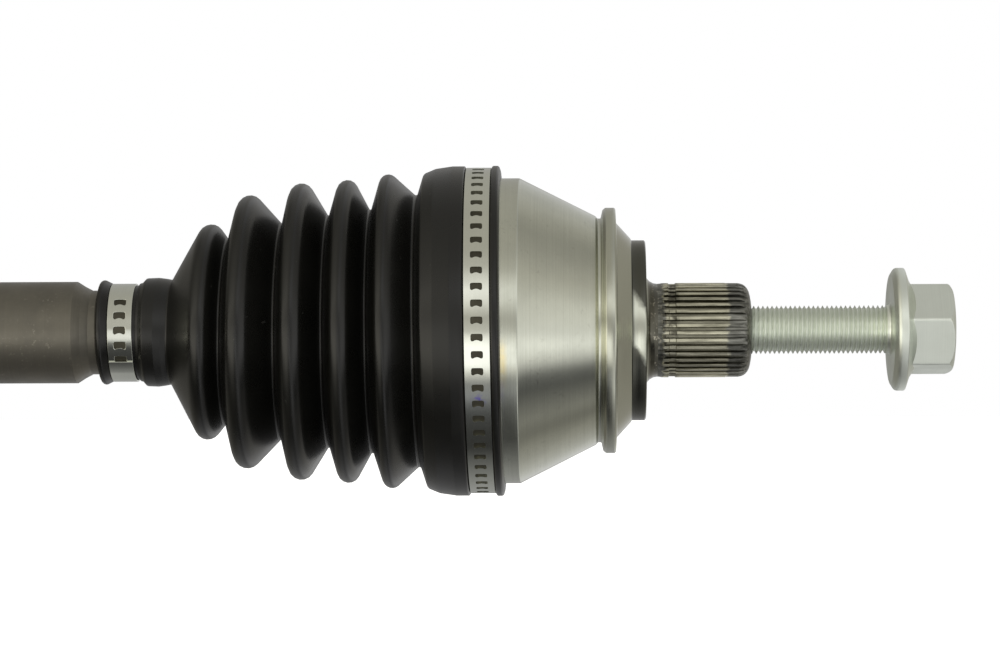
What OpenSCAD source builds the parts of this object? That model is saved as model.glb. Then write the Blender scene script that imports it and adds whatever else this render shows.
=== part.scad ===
// Drive shaft of a front-wheel-drive car: a ball joint at the wheel, a tripod joint at the gearbox.
// The shaft lies along X with the wheel at +X. The origin is on the axis, mid-way along the seal seat.

/* [Wheel stub] */
// Diameter of the ground seat behind the hub face
seat_d = 59; // [54:0.5:64]
// Width of the ground seat
seat_w = 4.6; // [3:0.1:7]
// Length of the stub beyond the hub face
stub_len = 34.1; // [28:0.1:44]
// Diameter over the stub's spline teeth
spline_d = 30.9; // [28:0.1:34]
// Depth of the stub's spline teeth
spline_depth = 1.15; // [0.7:0.05:1.6]
// Number of teeth on the stub
spline_teeth = 38; // [30:1:44]
// Plain neck between the hub face and the stub's spline
stub_neck_w = 5.4; // [4:0.1:8]
// Radius of the fillet at the hub face
stub_fillet = 2.6; // [1:0.1:4]
// Rounding of the stub's nose
stub_nose = 2.2; // [1:0.1:3]

/* [Hub bolt] */
// Diameter over the thread
thread_d = 15.8; // [13:0.1:18]
// Length of the shank under the flange
bolt_len = 53; // [48:0.5:56]
// Distance from the stub's end to the flange
bolt_out = 47.4; // [40:0.1:48]
// Diameter of the bolt's flange
bolt_flange_d = 40.2; // [32:0.1:46]
// Thickness of the bolt's flange at its rim
bolt_flange_t = 3.8; // [3:0.1:6]
// Width across the flats of the bolt's head
hex_af = 27; // [22:0.5:30]
// Height of the hexagon above the flange
hex_h = 15; // [10:0.5:18]

/* [Bell] */
// Diameter of the bell's band
bell_d = 100; // [98:0.2:108]
// Distance from the seal seat back to the ball joint's centre
joint_to_seat = 45; // [44:0.5:52]
// Distance from the joint's centre forward to the bell's cone
band_front = 6.3; // [3:0.1:9]
// Length of the bell's cone
cone_len = 24.9; // [22:0.1:25]
// Diameter at the small end of the cone
cone_end_d = 74.8; // [74:0.2:80]
// Diameter of the bead in front of the cone
bead_d = 80.4; // [77:0.2:86]
// Width of the bead
bead_w = 4.5; // [3:0.1:5]
// Distance from the joint's centre back to the bell's mouth
mouth_back = 20; // [19:0.1:24]

/* [Ball joint] */
// Diameter of a ball
ball_d = 20.6; // [19.6:0.1:21]
// Radius of the balls' pitch circle
ball_pitch_r = 32.5; // [32:0.1:33]
// Number of balls
ball_count = 6; // [5:1:6]
// Diameter of the inner race's sphere
race_d = 60; // [59:0.2:61]
// Width of the inner race
race_w = 26; // [22:0.5:27]
// Wall of the ball cage
cage_wall = 5.4; // [4.8:0.1:5.8]
// Width of the ball cage
cage_w = 34; // [31:0.5:35]
// Clearance between race, cage and bell
sphere_gap = 0.1; // [0.05:0.01:0.2]
// Clearance between a ball and the floor of its track
track_gap = 0.3; // [0.28:0.01:0.5]
// Extra radius of the tracks, which lets the balls move sideways
track_ease = 2; // [2:0.1:2.6]
// Largest bend of the ball joint
outer_bend = 45; // [30:1:45]

/* [Shaft] */
// Diameter of the tube between the boots
tube_d = 33.4; // [30:0.2:38]
// Diameter of the seats under the boots' small ends
boot_seat_d = 27.6; // [26:0.2:29]
// Diameter of the necks inside the boots
neck_d = 24; // [22:0.2:25]
// Distance between the centres of the two joints
centre_distance = 395; // [360:5:600]
// Diameter over the spline teeth in the race and the spider
bar_spline_d = 25.4; // [25.2:0.2:27]
// Depth of those teeth
bar_spline_depth = 1.1; // [0.7:0.05:1.4]
// Number of those teeth
bar_spline_teeth = 24; // [20:1:30]
// Length of the swage between tube and boot seat
swage_len = 5; // [3:0.5:10]
// Thickness of the circlips on the shaft
clip_t = 1.6; // [1.2:0.1:2]
// Height of the circlips above the groove
clip_h = 3; // [2:0.1:3.4]

/* [Wheel-side boot] */
// Distance from the joint's centre back to the boot's small end
boot_reach = 131.6; // [126:0.1:140]
// How far the boot's large end lies forward of the joint's centre
boot_lap = 0.6; // [-2:0.1:2]
// Wall of the boot's folds
boot_wall = 1.5; // [1.2:0.1:1.8]
// Wall of the boot's collar on the bell
collar_wall = 3.9; // [3.2:0.1:4.5]
// Wall of the boot's collar on the shaft
small_collar_wall = 3.8; // [3.2:0.1:4.5]
// Depth of the clamp's channel in a collar
clamp_channel = 1.3; // [1:0.1:1.6]
// Width of the wheel-side boot's large clamp
large_clamp_w = 8; // [7:0.1:10]
// Width of the small clamps
small_clamp_w = 8.9; // [7:0.1:10]
// Thickness of the clamp bands
band_t = 0.9; // [0.7:0.1:1]
// Circumferential pitch of the slots in the clamp bands
slot_pitch = 5.3; // [5:0.1:6.5]
// Slot's length round the band
slot_len = 2.4; // [2:0.1:3.6]
// Slot's width across the band
slot_w = 3.8; // [3:0.1:5]

/* [Tripod joint] */
// Diameter of the rollers
roller_d = 30; // [29:0.2:31]
// Radius of the rollers' pitch circle
roller_pitch_r = 26; // [25.6:0.1:26.6]
// Width of a roller
roller_w = 11; // [9:0.2:11.4]
// Diameter of the trunnions
trunnion_d = 17; // [15:0.2:17.6]
// Diameter of the needles
needle_d = 2.4; // [2:0.1:2.8]
// Clearance between a needle and its races
needle_gap = 0.05; // [0.02:0.01:0.1]
// Diameter of the spider's hub
spider_hub_d = 35; // [33:0.2:38]
// Width of the spider's hub
spider_w = 24; // [21:0.5:28]
// Sideways clearance between a roller and its track
roller_gap = 0.75; // [0.7:0.05:1.2]
// Largest bend of the tripod joint
inner_bend = 15; // [10:1:15]
// Travel of the tripod joint each way along the shaft
plunge = 12; // [8:0.5:12]

/* [Gearbox housing] */
// Diameter of the housing's bore between the tracks
housing_bore_d = 48; // [47:0.5:49]
// Wall of the housing outside its bore and tracks
housing_wall = 5.6; // [5:0.1:6.6]
// Thickness of the flange
flange_t = 10; // [8:0.5:14]
// Distance from the centring recess out to the middle of the bolt holes
flange_land = 8; // [7.5:0.5:10]
// Distance from the middle of the bolt holes out to the flange's rim
flange_edge = 9; // [8:0.5:12]
// Diameter of the flange's bolt holes
flange_hole_d = 10.4; // [8.4:0.1:11]
// Number of bolt holes in the flange
flange_holes = 6; // [6:3:6]
// Depth of the centring recess in the flange
recess_depth = 3; // [2:0.1:4]
// Diameter of the centring recess in the flange
recess_d = 78; // [77:0.2:80]
// Thickness of the pressed end cap
cap_t = 1.5; // [1:0.1:2]
// Depth of the pressed end cap's rim
cap_depth = 5; // [4:0.1:6]
// Thickness of the ring that keeps the rollers in
mouth_ring_t = 2.2; // [1.6:0.1:2.6]

/* [Gearbox-side boot] */
// Length of the gearbox-side boot
inner_boot_len = 88; // [80:1:100]
// Width of the sleeve that fits the round boot to the housing
sleeve_w = 15; // [13:0.5:18]
// Wall of the gearbox-side boot's large collar
inner_collar_wall = 3.4; // [3:0.1:4]
// Thickness of the sleeve over the housing's lobes
sleeve_wall = 3.4; // [2.4:0.1:5]

/* [Hidden] */

$fn = 96;
eps = 0.01;
lap = 1;

steel = "#8f8a80";
dark_steel = "#55524c";
bright_steel = "#c9cbc8";
zinc = "#b9c2be";
rubber = "#1c1c1d";

// Wheel end, along X
hub_face_x = seat_w / 2;
stub_end_x = hub_face_x + stub_len;
spline_x = hub_face_x + stub_neck_w;
joint_x = -joint_to_seat;
cone_x = joint_x + band_front;
cone_end_x = cone_x + cone_len;
mouth_x = joint_x - mouth_back;
bolt_face_x = stub_end_x + bolt_out;
bolt_fit = 0.05;
bead_setback = 7.3;
bead_x = -bead_setback - bead_w;
lead_x = -seat_w / 2;
spline_ring_x = 2.5;
spline_ring_w = 1.8;
neck_land = 0.05;
end_chamfer = 0.4;

// Ball joint, about its centre
ball_r = ball_d / 2;
race_r = race_d / 2;
cage_in_r = race_r + sphere_gap;
cage_out_r = cage_in_r + cage_wall;
bell_sphere_r = cage_out_r + sphere_gap;
track_r = ball_r + track_gap + track_ease;
bell_track_r = ball_pitch_r - track_ease;
race_track_r = ball_pitch_r + track_ease;
ball_half_angle = asin(ball_r / ball_pitch_r);
track_end_angle = outer_bend / 2 + ball_half_angle + 2;
track_mouth_angle = 50;
race_track_reach = 60;
window_cut = 6;
race_corner_angle = asin(race_w / 2 / race_r);
cage_corner_angle = asin(cage_w / 2 / cage_out_r);
race_dip = race_r * sin(min(90, race_corner_angle + outer_bend));
cage_dip = cage_out_r * sin(min(90, cage_corner_angle + outer_bend / 2));
swing_gap = 0.9;
floor_wall = 3.4;
cavity_floor = max(race_dip, cage_dip) + swing_gap;
bore_floor_x = joint_x + cavity_floor + floor_wall;
mouth_gap = 3;
mouth_r = neck_d / 2 / cos(outer_bend) + mouth_back * tan(outer_bend) + mouth_gap;
mouth_throat = 13.6;
mouth_throat_r = mouth_r - (mouth_back - mouth_throat);
window_w = ball_d + 0.1;
window_len = ball_d + 5.4;
window_corner_r = 14.2;

// Shaft, along X
bar_spline_r = bar_spline_d / 2;
neck_r = neck_d / 2;
tripod_x = joint_x - centre_distance;
race_back_x = joint_x - race_w / 2;
spacer_t = 2.4;
washer_t = 2;
shoulder_x = race_back_x - spacer_t - washer_t - 0.1;
shoulder_w = 4;
shoulder_r = bar_spline_r + 1.6;
ring_fit = 0.05;
clip_groove_depth = 1.1;
race_clip_x = joint_x + race_w / 2 + 0.05;
bar_wheel_end_x = race_clip_x + clip_t + 2.6;
spider_clip_x = tripod_x - spider_w / 2 - clip_t - 0.05;
bar_box_end_x = spider_clip_x - 2.6;
spider_shoulder_x = tripod_x + spider_w / 2 + 0.1;

// Wheel-side boot, along X
boot_seat_r = boot_seat_d / 2;
boot_small_x = joint_x - boot_reach;
boot_large_x = joint_x + boot_lap;
collar_r = bell_d / 2 + collar_wall;
small_collar_r = boot_seat_r + small_collar_wall;
lip_w = 4.2;
large_lip_w = 2.9;
small_collar_w = 23.8;
large_collar_w = 25;
small_clamp_x = boot_small_x + lip_w;
large_clamp_x = boot_large_x - large_lip_w - large_clamp_w;
seat_len = small_collar_w + 4;
fold_rounding = 3.8;
// Corners of the folds: share of the way along, share of the way out, share of the rounding
outer_folds = [[0.135, 0.576, 1], [0.2145, 0.335, 0.27], [0.2747, 0.8595, 1.02], [0.4313, 0.4766, 0.27],
    [0.4892, 1.0165, 0.97], [0.6169, 0.54, 0.27], [0.6807, 1.03, 0.87], [0.7855, 0.587, 0.27],
    [0.8416, 0.997, 0.76], [0.9711, 0.722, 0.27]];
inner_folds = [[0.16, 0.62, 0.9], [0.29, 0.33, 0.27], [0.4, 0.86, 0.9], [0.53, 0.45, 0.27],
    [0.65, 1.06, 0.9], [0.79, 0.56, 0.27], [0.87, 1.04, 0.8], [0.965, 0.7, 0.27]];

// Tripod joint, about its centre
roller_r = roller_d / 2;
roller_track_r = roller_r + roller_gap;
trunnion_r = trunnion_d / 2;
needle_ring_r = trunnion_r + needle_gap + needle_d / 2;
roller_bore_r = needle_ring_r + needle_d / 2 + needle_gap;
needle_count = floor(180 / asin((needle_d + 0.1) / 2 / needle_ring_r));
needle_len = roller_w - 1;
roller_clip_t = 1;
trunnion_end = roller_pitch_r + roller_w / 2 + roller_clip_t + 0.5;
roller_tip_tilt = acos(0.75 * cos(inner_bend) + 0.25);
roller_lift = roller_w / 2 * cos(roller_tip_tilt) + roller_r * sin(roller_tip_tilt);
clip_lift = trunnion_end * cos(roller_tip_tilt) + (trunnion_r + 2) * sin(roller_tip_tilt) - roller_pitch_r;
track_depth = max(roller_lift, clip_lift) + 0.5;
track_floor_r = roller_pitch_r + track_depth;

// Gearbox housing, along X
bore_r = housing_bore_d / 2;
roller_run = roller_r + roller_pitch_r * sin(60) * sin(inner_bend) + plunge;
end_gap = 1;
mouth_land = 3;
mouth_ring_x = tripod_x + roller_run + end_gap;
housing_mouth_x = mouth_ring_x + mouth_ring_t + mouth_land;
flange_back_x = tripod_x - roller_run - cap_depth - recess_depth - end_gap;
flange_front_x = flange_back_x + flange_t;
flange_pcd = recess_d + 2 * flange_land;
flange_d = flange_pcd + 2 * flange_edge;
lobe_r = track_floor_r + housing_wall;
core_r = bore_r + housing_wall + 1.4;
lobe_side_r = roller_track_r + housing_wall - 0.6;
lead_reach = housing_mouth_x - tripod_x + plunge;
lead_r = lead_reach * tan(inner_bend) + neck_r / cos(inner_bend) + 0.8;
lead_start = (bore_r - 0.4 - neck_r / cos(inner_bend)) / tan(inner_bend);
lead_depth = max(2, lead_reach - lead_start);
mouth_ring_in_r = lead_r + 0.6;
mouth_ring_out_r = mouth_ring_in_r + 3.6;
cap_r = track_floor_r + 1.6;
sleeve_r = lobe_r + sleeve_wall;
sleeve_fit = 0.1;
boot_fit = 0.2;

// Gearbox-side boot, along X
inner_collar_r = sleeve_r + inner_collar_wall;
inner_large_x = housing_mouth_x - sleeve_w;
inner_small_x = inner_large_x + inner_boot_len;
inner_large_clamp_x = inner_large_x + large_lip_w;
inner_small_clamp_x = inner_small_x - lip_w - small_clamp_w;
tube_start_x = inner_small_x + 2.6 + swage_len;
tube_end_x = boot_small_x - 2.6 - swage_len;

// Geometry helpers
function unit(v) = v / norm(v);
function xy(p) = [p[0], p[1]];
function turn(a, b) = a[0] * b[1] - a[1] * b[0];
function flip(points) = [for (i = [len(points) - 1:-1:0]) points[i]];

// The arc of radius r that rounds the corner p between its neighbours a and b
function corner_arc(a, p, b, r, n = 6) =
    let (u = unit(a - p), v = unit(b - p), half = acos(u * v) / 2)
    let (c = p + unit(u + v) * r / sin(half), s = p + u * r / tan(half) - c, e = p + v * r / tan(half) - c)
    let (from = atan2(s[1], s[0]), sweep = (atan2(e[1], e[0]) - from + 540) % 360 - 180)
    [for (i = [0:n]) c + r * [cos(from + sweep * i / n), sin(from + sweep * i / n)]];

// A path of [x, radius, rounding] with its inner corners rounded
function rounded_path(path) = [for (i = [0:len(path) - 1])
    each (i == 0 || i == len(path) - 1 || path[i][2] == 0
        ? [xy(path[i])]
        : corner_arc(xy(path[i - 1]), xy(path[i]), xy(path[i + 1]), path[i][2]))];

// The side of a path's piece from a to b, turned towards the axis
function inward(a, b) = let (u = unit(b - a)) [u[1], -u[0]];

// The same path at the distance d towards the axis, with crests tighter and valleys wider
function parallel_path(path, d) = let (last = len(path) - 1) [for (i = [0:last])
    let (p = xy(path[i]))
    let (n1 = inward(xy(path[max(i - 1, 0)]), i == 0 ? xy(path[1]) : p))
    let (n2 = i == last ? n1 : inward(p, xy(path[i + 1])))
    let (q = p + d * (n1 + n2) / (1 + n1 * n2))
    [q[0], q[1], path[i][2] == 0 ? 0 : path[i][2] + (turn(n1, n2) < 0 ? -d : d)]];

// A solid of revolution about X from an outline of [x, radius]
module turned(outline) rotate([0, 90, 0]) rotate_extrude() polygon([for (p = outline) [p[1], p[0]]]);

module ring(x, w, r_in, r_out) turned([[x, r_in], [x + w, r_in], [x + w, r_out], [x, r_out]]);

module rod(x, w, r) translate([x, 0, 0]) rotate([0, 90, 0]) cylinder(r = r, h = w);

// Children drawn in the plane across the shaft, with their own Y along Z, extruded along X
module across(x, w) translate([x, 0, 0]) rotate([90, 0, 90]) linear_extrude(w) children();

// Copies in steps round the shaft, starting at the top
module around(count, first = 0) for (i = [0:count - 1]) rotate([first + i * 360 / count, 0, 0]) children();

// Section of a spline, with slot_fit widening it on every side for a bore
module spline_section(r, depth, teeth, slot_fit = 0) {
    pitch = 360 / teeth;
    tip = 0.2 * pitch + slot_fit / r * 57.3;
    root = 0.36 * pitch + slot_fit / r * 57.3;
    low = r - depth + slot_fit;
    high = r + slot_fit;
    polygon([for (i = [0:teeth - 1]) each [
        low * [cos(i * pitch - root), sin(i * pitch - root)],
        high * [cos(i * pitch - tip), sin(i * pitch - tip)],
        high * [cos(i * pitch + tip), sin(i * pitch + tip)],
        low * [cos(i * pitch + root), sin(i * pitch + root)]]]);
}

// A ball track: part of a torus about the joint's centre, in the plane of X and Z
module ball_track(path_r, from, to) translate([joint_x, 0, 0]) rotate([90, 0, 0])
    rotate([0, 0, 90 - to]) rotate_extrude(angle = to - from) translate([path_r, 0]) circle(r = track_r);

// Outline of the tripod housing across the shaft: three lobes round a bore
module lobes(middle_r, side_r, top_r) {
    circle(r = middle_r);
    for (i = [0:2]) rotate(i * 120) intersection() {
        translate([0, roller_pitch_r]) circle(r = side_r);
        translate([-side_r - lap, 0]) square([2 * side_r + 2 * lap, top_r]);
    }
}

// A boot's wall between its two collars; x and r at both ends, corners given as shares
function fold_path(x0, r0, x1, r1, folds) =
    [for (f = folds) [x0 + (x1 - x0) * f[0], r0 + (r1 - r0) * f[1], fold_rounding * f[2]]];

// The stub with its spline, neck and nose
module stub() {
    stub_r = spline_d / 2;
    ring_x = spline_x + spline_ring_x;
    ring_r = stub_r - spline_depth;
    over_r = stub_r + lap;
    rod(hub_face_x - lap, stub_neck_w + lap, stub_r + neck_land);
    intersection() {
        across(spline_x - lap, stub_end_x - spline_x + lap) spline_section(stub_r, spline_depth,
            spline_teeth);
        turned([[spline_x - 2 * lap, 0], [stub_end_x, 0], [stub_end_x, stub_r - 1.6 * stub_nose],
            [stub_end_x - 0.35 * stub_nose, stub_r - 0.9 * stub_nose], [stub_end_x - stub_nose,
            stub_r - 0.25 * stub_nose], [stub_end_x - 2 * stub_nose, stub_r + 0.1],
            [stub_end_x - 2 * stub_nose, over_r], [ring_x + spline_ring_w, over_r],
            [ring_x + spline_ring_w, ring_r], [ring_x, ring_r], [ring_x, over_r],
            [spline_x - 2 * lap, over_r]]);
    }
}

module bell_outside() {
    seat_r = seat_d / 2;
    bead_r = bead_d / 2;
    bell_r = bell_d / 2;
    cone_end_r = cone_end_d / 2;
    groove = 0.8;
    turned(rounded_path([[mouth_x, 0, 0], [mouth_x, bell_r - 1.5, 0], [mouth_x + 1.5, bell_r, 0],
        [cone_x, bell_r, 1.5], [cone_end_x, cone_end_r, 0], [cone_end_x + 0.7, cone_end_r - groove, 0],
        [bead_x - 0.3, cone_end_r - groove, 0.25], [bead_x, bead_r - 1.4, 0.6], [bead_x + 0.9, bead_r, 1],
        [bead_x + bead_w, bead_r, 0.8], [bead_x + bead_w + 0.15, bead_r - 5.1, 0.6],
        [lead_x - 0.2, seat_r + 0.5, 0], [lead_x, seat_r, 0], [hub_face_x - end_chamfer, seat_r, 0],
        [hub_face_x, seat_r - end_chamfer, 0], [hub_face_x, spline_d / 2 + stub_fillet, 0],
        [hub_face_x + 0.3 * stub_fillet, spline_d / 2 + 0.32 * stub_fillet, 0],
        [hub_face_x + stub_fillet, spline_d / 2, 0], [hub_face_x + stub_fillet, 0, 0]]));
}

// The hollow for cage and race, and the cone that lets the shaft swing
module bell_inside() {
    intersection() {
        translate([joint_x, 0, 0]) sphere(r = bell_sphere_r);
        rod(joint_x - bell_sphere_r - lap, bell_sphere_r + lap + cavity_floor, bell_sphere_r + lap);
    }
    turned([[mouth_x - lap, 0], [mouth_x - lap, mouth_r + lap], [joint_x - mouth_throat, mouth_throat_r],
        [joint_x - mouth_throat + 4, mouth_throat_r - 4], [joint_x - mouth_throat + 4, 0]]);
}

module outer_joint_bell() color(steel) difference() {
    difference() {
        union() {
            bell_outside();
            stub();
        }
        bell_inside();
        rod(bore_floor_x, stub_end_x - bore_floor_x + lap, thread_d / 2 + bolt_fit);
        turned([[stub_end_x - 1.5, 0], [stub_end_x - 1.5, thread_d / 2 - 0.4],
            [stub_end_x + lap, thread_d / 2 + 2.1], [stub_end_x + lap, 0]]);
        ring(large_clamp_x + 0.8, large_clamp_w - 1.6, bell_d / 2 - 0.7, bell_d / 2 + lap);
    }
    around(ball_count) ball_track(bell_track_r, -track_mouth_angle, track_end_angle);
}

module outer_inner_race() color(steel) difference() {
    intersection() {
        translate([joint_x, 0, 0]) sphere(r = race_r);
        rod(race_back_x, race_w, race_r + lap);
    }
    around(ball_count) ball_track(race_track_r, -race_track_reach, race_track_reach);
    across(race_back_x - lap, race_w + 2 * lap)
        spline_section(bar_spline_r, bar_spline_depth, bar_spline_teeth, ring_fit);
}

module outer_cage() color(dark_steel) difference() {
    intersection() {
        translate([joint_x, 0, 0]) sphere(r = cage_out_r);
        rod(joint_x - cage_w / 2, cage_w, cage_out_r + lap);
    }
    translate([joint_x, 0, 0]) sphere(r = cage_in_r);
    around(ball_count) translate([joint_x, 0, cage_in_r - window_cut])
        linear_extrude(cage_wall + 2 * window_cut) intersection() {
            square([window_w, window_len], center = true);
            circle(r = window_corner_r);
        }
}

module outer_balls() color(bright_steel)
    around(ball_count) translate([joint_x, 0, ball_pitch_r]) sphere(r = ball_r);

// An open ring in a groove on the shaft, with its gap at the bottom
module circlip(x, r_in) difference() {
    ring(x, clip_t, r_in, r_in + clip_h);
    translate([x - lap, -2, -r_in - clip_h - lap]) cube([clip_t + 2 * lap, 4, clip_h + 2 * lap]);
}

module outer_race_circlip() color(dark_steel) circlip(race_clip_x,
    bar_spline_r - clip_groove_depth + ring_fit);

// A cone spring that presses the race against its circlip
module outer_dished_washer() color(dark_steel) {
    in_r = bar_spline_r + 0.1;
    x = race_back_x - spacer_t - washer_t;
    turned([[x, in_r], [x + 1.1, in_r], [x + washer_t - 0.1, in_r + 5.5],
        [x + washer_t - 1.1, in_r + 5.5]]);
}

module outer_spacer_ring() color(dark_steel)
    ring(race_back_x - spacer_t, spacer_t - 0.05, bar_spline_r + 0.1, bar_spline_r + 4);

module hub_bolt() color(zinc) {
    tip = 1.4;
    rim_x = bolt_face_x + bolt_flange_t;
    flange_r = bolt_flange_d / 2;
    turned([[bolt_face_x - bolt_len, 0], [bolt_face_x - bolt_len, thread_d / 2 - tip],
        [bolt_face_x - bolt_len + tip, thread_d / 2], [bolt_face_x - 3, thread_d / 2],
        [bolt_face_x - 1, thread_d / 2 + 0.7], [bolt_face_x + lap, thread_d / 2 + 1.8],
        [bolt_face_x + lap, 0]]);
    turned(rounded_path([[bolt_face_x, 0, 0], [bolt_face_x, flange_r - 0.6, 0],
        [bolt_face_x + 0.6, flange_r, 0], [rim_x, flange_r, 1], [rim_x + 2.6, hex_af / 2 + 1, 0.6],
        [rim_x + 2.6, 0, 0]]));
    intersection() {
        across(rim_x, hex_h) rotate(-10) circle(d = hex_af / cos(30), $fn = 6);
        turned([[rim_x - lap, 0], [rim_x - lap, hex_af], [rim_x + hex_h - 1.6, hex_af / 2 / cos(30) + 0.1],
            [rim_x + hex_h, hex_af / 2 - 0.3], [rim_x + hex_h, 0]]);
    }
}

// A boot in one closed outline: small collar, folds, large collar, and the wall's inner side
module outer_boot() color(rubber) {
    fold_x0 = boot_small_x + small_collar_w;
    fold_x1 = boot_large_x - large_collar_w;
    channel_r = collar_r - clamp_channel;
    small_channel_r = small_collar_r - clamp_channel - 0.9;
    seat_r = bell_d / 2 + boot_fit / 2;
    path = concat([[fold_x0 - 4, small_collar_r, 0], [fold_x0, small_collar_r, 1.4]],
        fold_path(fold_x0, small_collar_r, fold_x1, collar_r, outer_folds),
        [[fold_x1, collar_r - 2.2, 2.6], [fold_x1 + 3, collar_r - 1.5, 0]]);
    inner = parallel_path(path, boot_wall);
    turned(concat([[boot_small_x, boot_seat_r], [boot_small_x, small_collar_r - 0.8],
        [boot_small_x + 0.4, small_collar_r - 0.5], [small_clamp_x - 0.3, small_collar_r - 0.5],
        [small_clamp_x - 0.1, small_channel_r], [small_clamp_x + small_clamp_w + 0.2, small_channel_r],
        [small_clamp_x + small_clamp_w + 3.6, small_collar_r - 0.6]], rounded_path(path),
        [[fold_x1 + 6, collar_r - 0.8], [large_clamp_x - 1.2, collar_r + 0.05],
        [large_clamp_x - 0.2, channel_r],
        [large_clamp_x + large_clamp_w + 0.2, channel_r], [large_clamp_x + large_clamp_w + 0.4,
        collar_r - 0.3], [boot_large_x - 0.6, collar_r - 0.1], [boot_large_x, collar_r - 0.8],
        [boot_large_x, seat_r], [mouth_x - 0.4, seat_r], [mouth_x - 0.4, bell_d / 2 - 0.6]],
        flip(rounded_path(inner)), [[fold_x0 - 7, boot_seat_r]]));
}

// A slotted steel band with its crimped ear on the far side
module clamp(x, w, r) {
    slots = floor(2 * PI * r / slot_pitch);
    ear_h = 3.6;
    ear_len = 7;
    difference() {
        ring(x, w, r, r + band_t);
        for (i = [0:slots - 1]) rotate([i * 360 / slots, 0, 0]) translate([x + w / 2, 0, r - lap])
            linear_extrude(band_t + 2 * lap) square([slot_w, slot_len], center = true);
        rotate([-90, 0, 0]) translate([x - lap, -ear_len, r - lap]) cube([w + 2 * lap, 2 * ear_len,
            band_t + 2 * lap]);
    }
    rotate([-90, 0, 0]) intersection() {
        ring(x, w, r, r + 2 * band_t);
        translate([x - lap, -2 * ear_len, 0]) cube([w + 2 * lap, 4 * ear_len, r + 3 * band_t]);
    }
    rotate([-90, 0, 0]) translate([x, 0, r + band_t]) rotate([90, 0, 90]) linear_extrude(w) difference() {
        polygon([[-ear_len / 2 - band_t, 0], [-ear_len / 2 + 0.6, ear_h], [ear_len / 2 - 0.6, ear_h],
            [ear_len / 2 + band_t, 0]]);
        polygon([[-ear_len / 2 + band_t, band_t], [-ear_len / 2 + 1.4, ear_h - band_t],
            [ear_len / 2 - 1.4, ear_h - band_t], [ear_len / 2 - band_t, band_t]]);
    }
}

module outer_boot_large_clamp() color(bright_steel) clamp(large_clamp_x, large_clamp_w,
    collar_r - clamp_channel);

module outer_boot_small_clamp() color(bright_steel)
    clamp(small_clamp_x, small_clamp_w, small_collar_r - clamp_channel - 0.9);

// The swaged shaft: splined ends, necks, boot seats and tube
module shaft_bar() color(dark_steel) {
    groove_r = bar_spline_r - clip_groove_depth;
    wheel_seat_x = boot_small_x + seat_len;
    box_seat_x = inner_small_x - seat_len;
    neck_taper = 4;
    turned([[shoulder_x + 1.5, 0], [shoulder_x + 1.5, neck_r - 0.7], [shoulder_x, neck_r - 0.7],
        [shoulder_x, shoulder_r], [shoulder_x - shoulder_w, shoulder_r],
        [shoulder_x - shoulder_w - 2, neck_r], [wheel_seat_x + neck_taper, neck_r],
        [wheel_seat_x, boot_seat_r], [tube_end_x + swage_len, boot_seat_r],
        [tube_end_x + 0.5 * swage_len, 0.55 * boot_seat_r + 0.225 * tube_d], [tube_end_x, tube_d / 2],
        [tube_start_x, tube_d / 2], [tube_start_x - 0.5 * swage_len, 0.55 * boot_seat_r + 0.225 * tube_d],
        [tube_start_x - swage_len, boot_seat_r], [box_seat_x, boot_seat_r],
        [box_seat_x - neck_taper, neck_r], [spider_shoulder_x + shoulder_w + 2, neck_r],
        [spider_shoulder_x + shoulder_w, shoulder_r], [spider_shoulder_x, shoulder_r],
        [spider_shoulder_x, neck_r - 0.7], [spider_shoulder_x - 1.5, neck_r - 0.7],
        [spider_shoulder_x - 1.5, 0]]);
    splined_end(shoulder_x, bar_wheel_end_x, race_clip_x, groove_r);
    mirror([1, 0, 0]) splined_end(-spider_shoulder_x, -bar_box_end_x, -spider_clip_x - clip_t, groove_r);
}

// A splined end from x to end_x, with a circlip groove and a chamfer
module splined_end(x, end_x, clip_x, groove_r) intersection() {
    across(x, end_x - x) spline_section(bar_spline_r, bar_spline_depth, bar_spline_teeth);
    turned([[x - lap, 0], [x - lap, bar_spline_r + lap], [clip_x - ring_fit, bar_spline_r + lap],
        [clip_x - ring_fit, groove_r], [clip_x + clip_t + ring_fit, groove_r],
        [clip_x + clip_t + ring_fit, bar_spline_r + lap], [end_x - 2, bar_spline_r + 0.4],
        [end_x, bar_spline_r - 1.6], [end_x, 0]]);
}

// Three trunnions on a splined hub
module inner_spider() color(steel) difference() {
    union() {
        turned([[tripod_x - spider_w / 2, 0], [tripod_x - spider_w / 2, spider_hub_d / 2 - 1.5],
            [tripod_x - spider_w / 2 + 1.5, spider_hub_d / 2], [tripod_x + spider_w / 2 - 1.5,
            spider_hub_d / 2], [tripod_x + spider_w / 2, spider_hub_d / 2 - 1.5],
            [tripod_x + spider_w / 2, 0]]);
        around(3) translate([tripod_x, 0, 0]) difference() {
            cylinder(r = trunnion_r, h = trunnion_end);
            translate([0, 0, trunnion_end - 0.5 - roller_clip_t - ring_fit]) difference() {
                cylinder(r = trunnion_r + lap, h = roller_clip_t + 2 * ring_fit);
                cylinder(r = trunnion_r - 0.6, h = roller_clip_t + 2 * ring_fit);
            }
        }
    }
    across(tripod_x - spider_w / 2 - lap, spider_w + 2 * lap)
        spline_section(bar_spline_r, bar_spline_depth, bar_spline_teeth, ring_fit);
}

module inner_spider_circlip() color(dark_steel) circlip(spider_clip_x,
    bar_spline_r - clip_groove_depth + ring_fit);

// A crowned roller on the trunnion that stands straight up
module roller() translate([tripod_x, 0, roller_pitch_r]) difference() {
    intersection() {
        sphere(r = roller_r);
        cylinder(r = roller_r + lap, h = roller_w, center = true);
    }
    cylinder(r = roller_bore_r, h = roller_w + 2 * lap, center = true);
}

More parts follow.
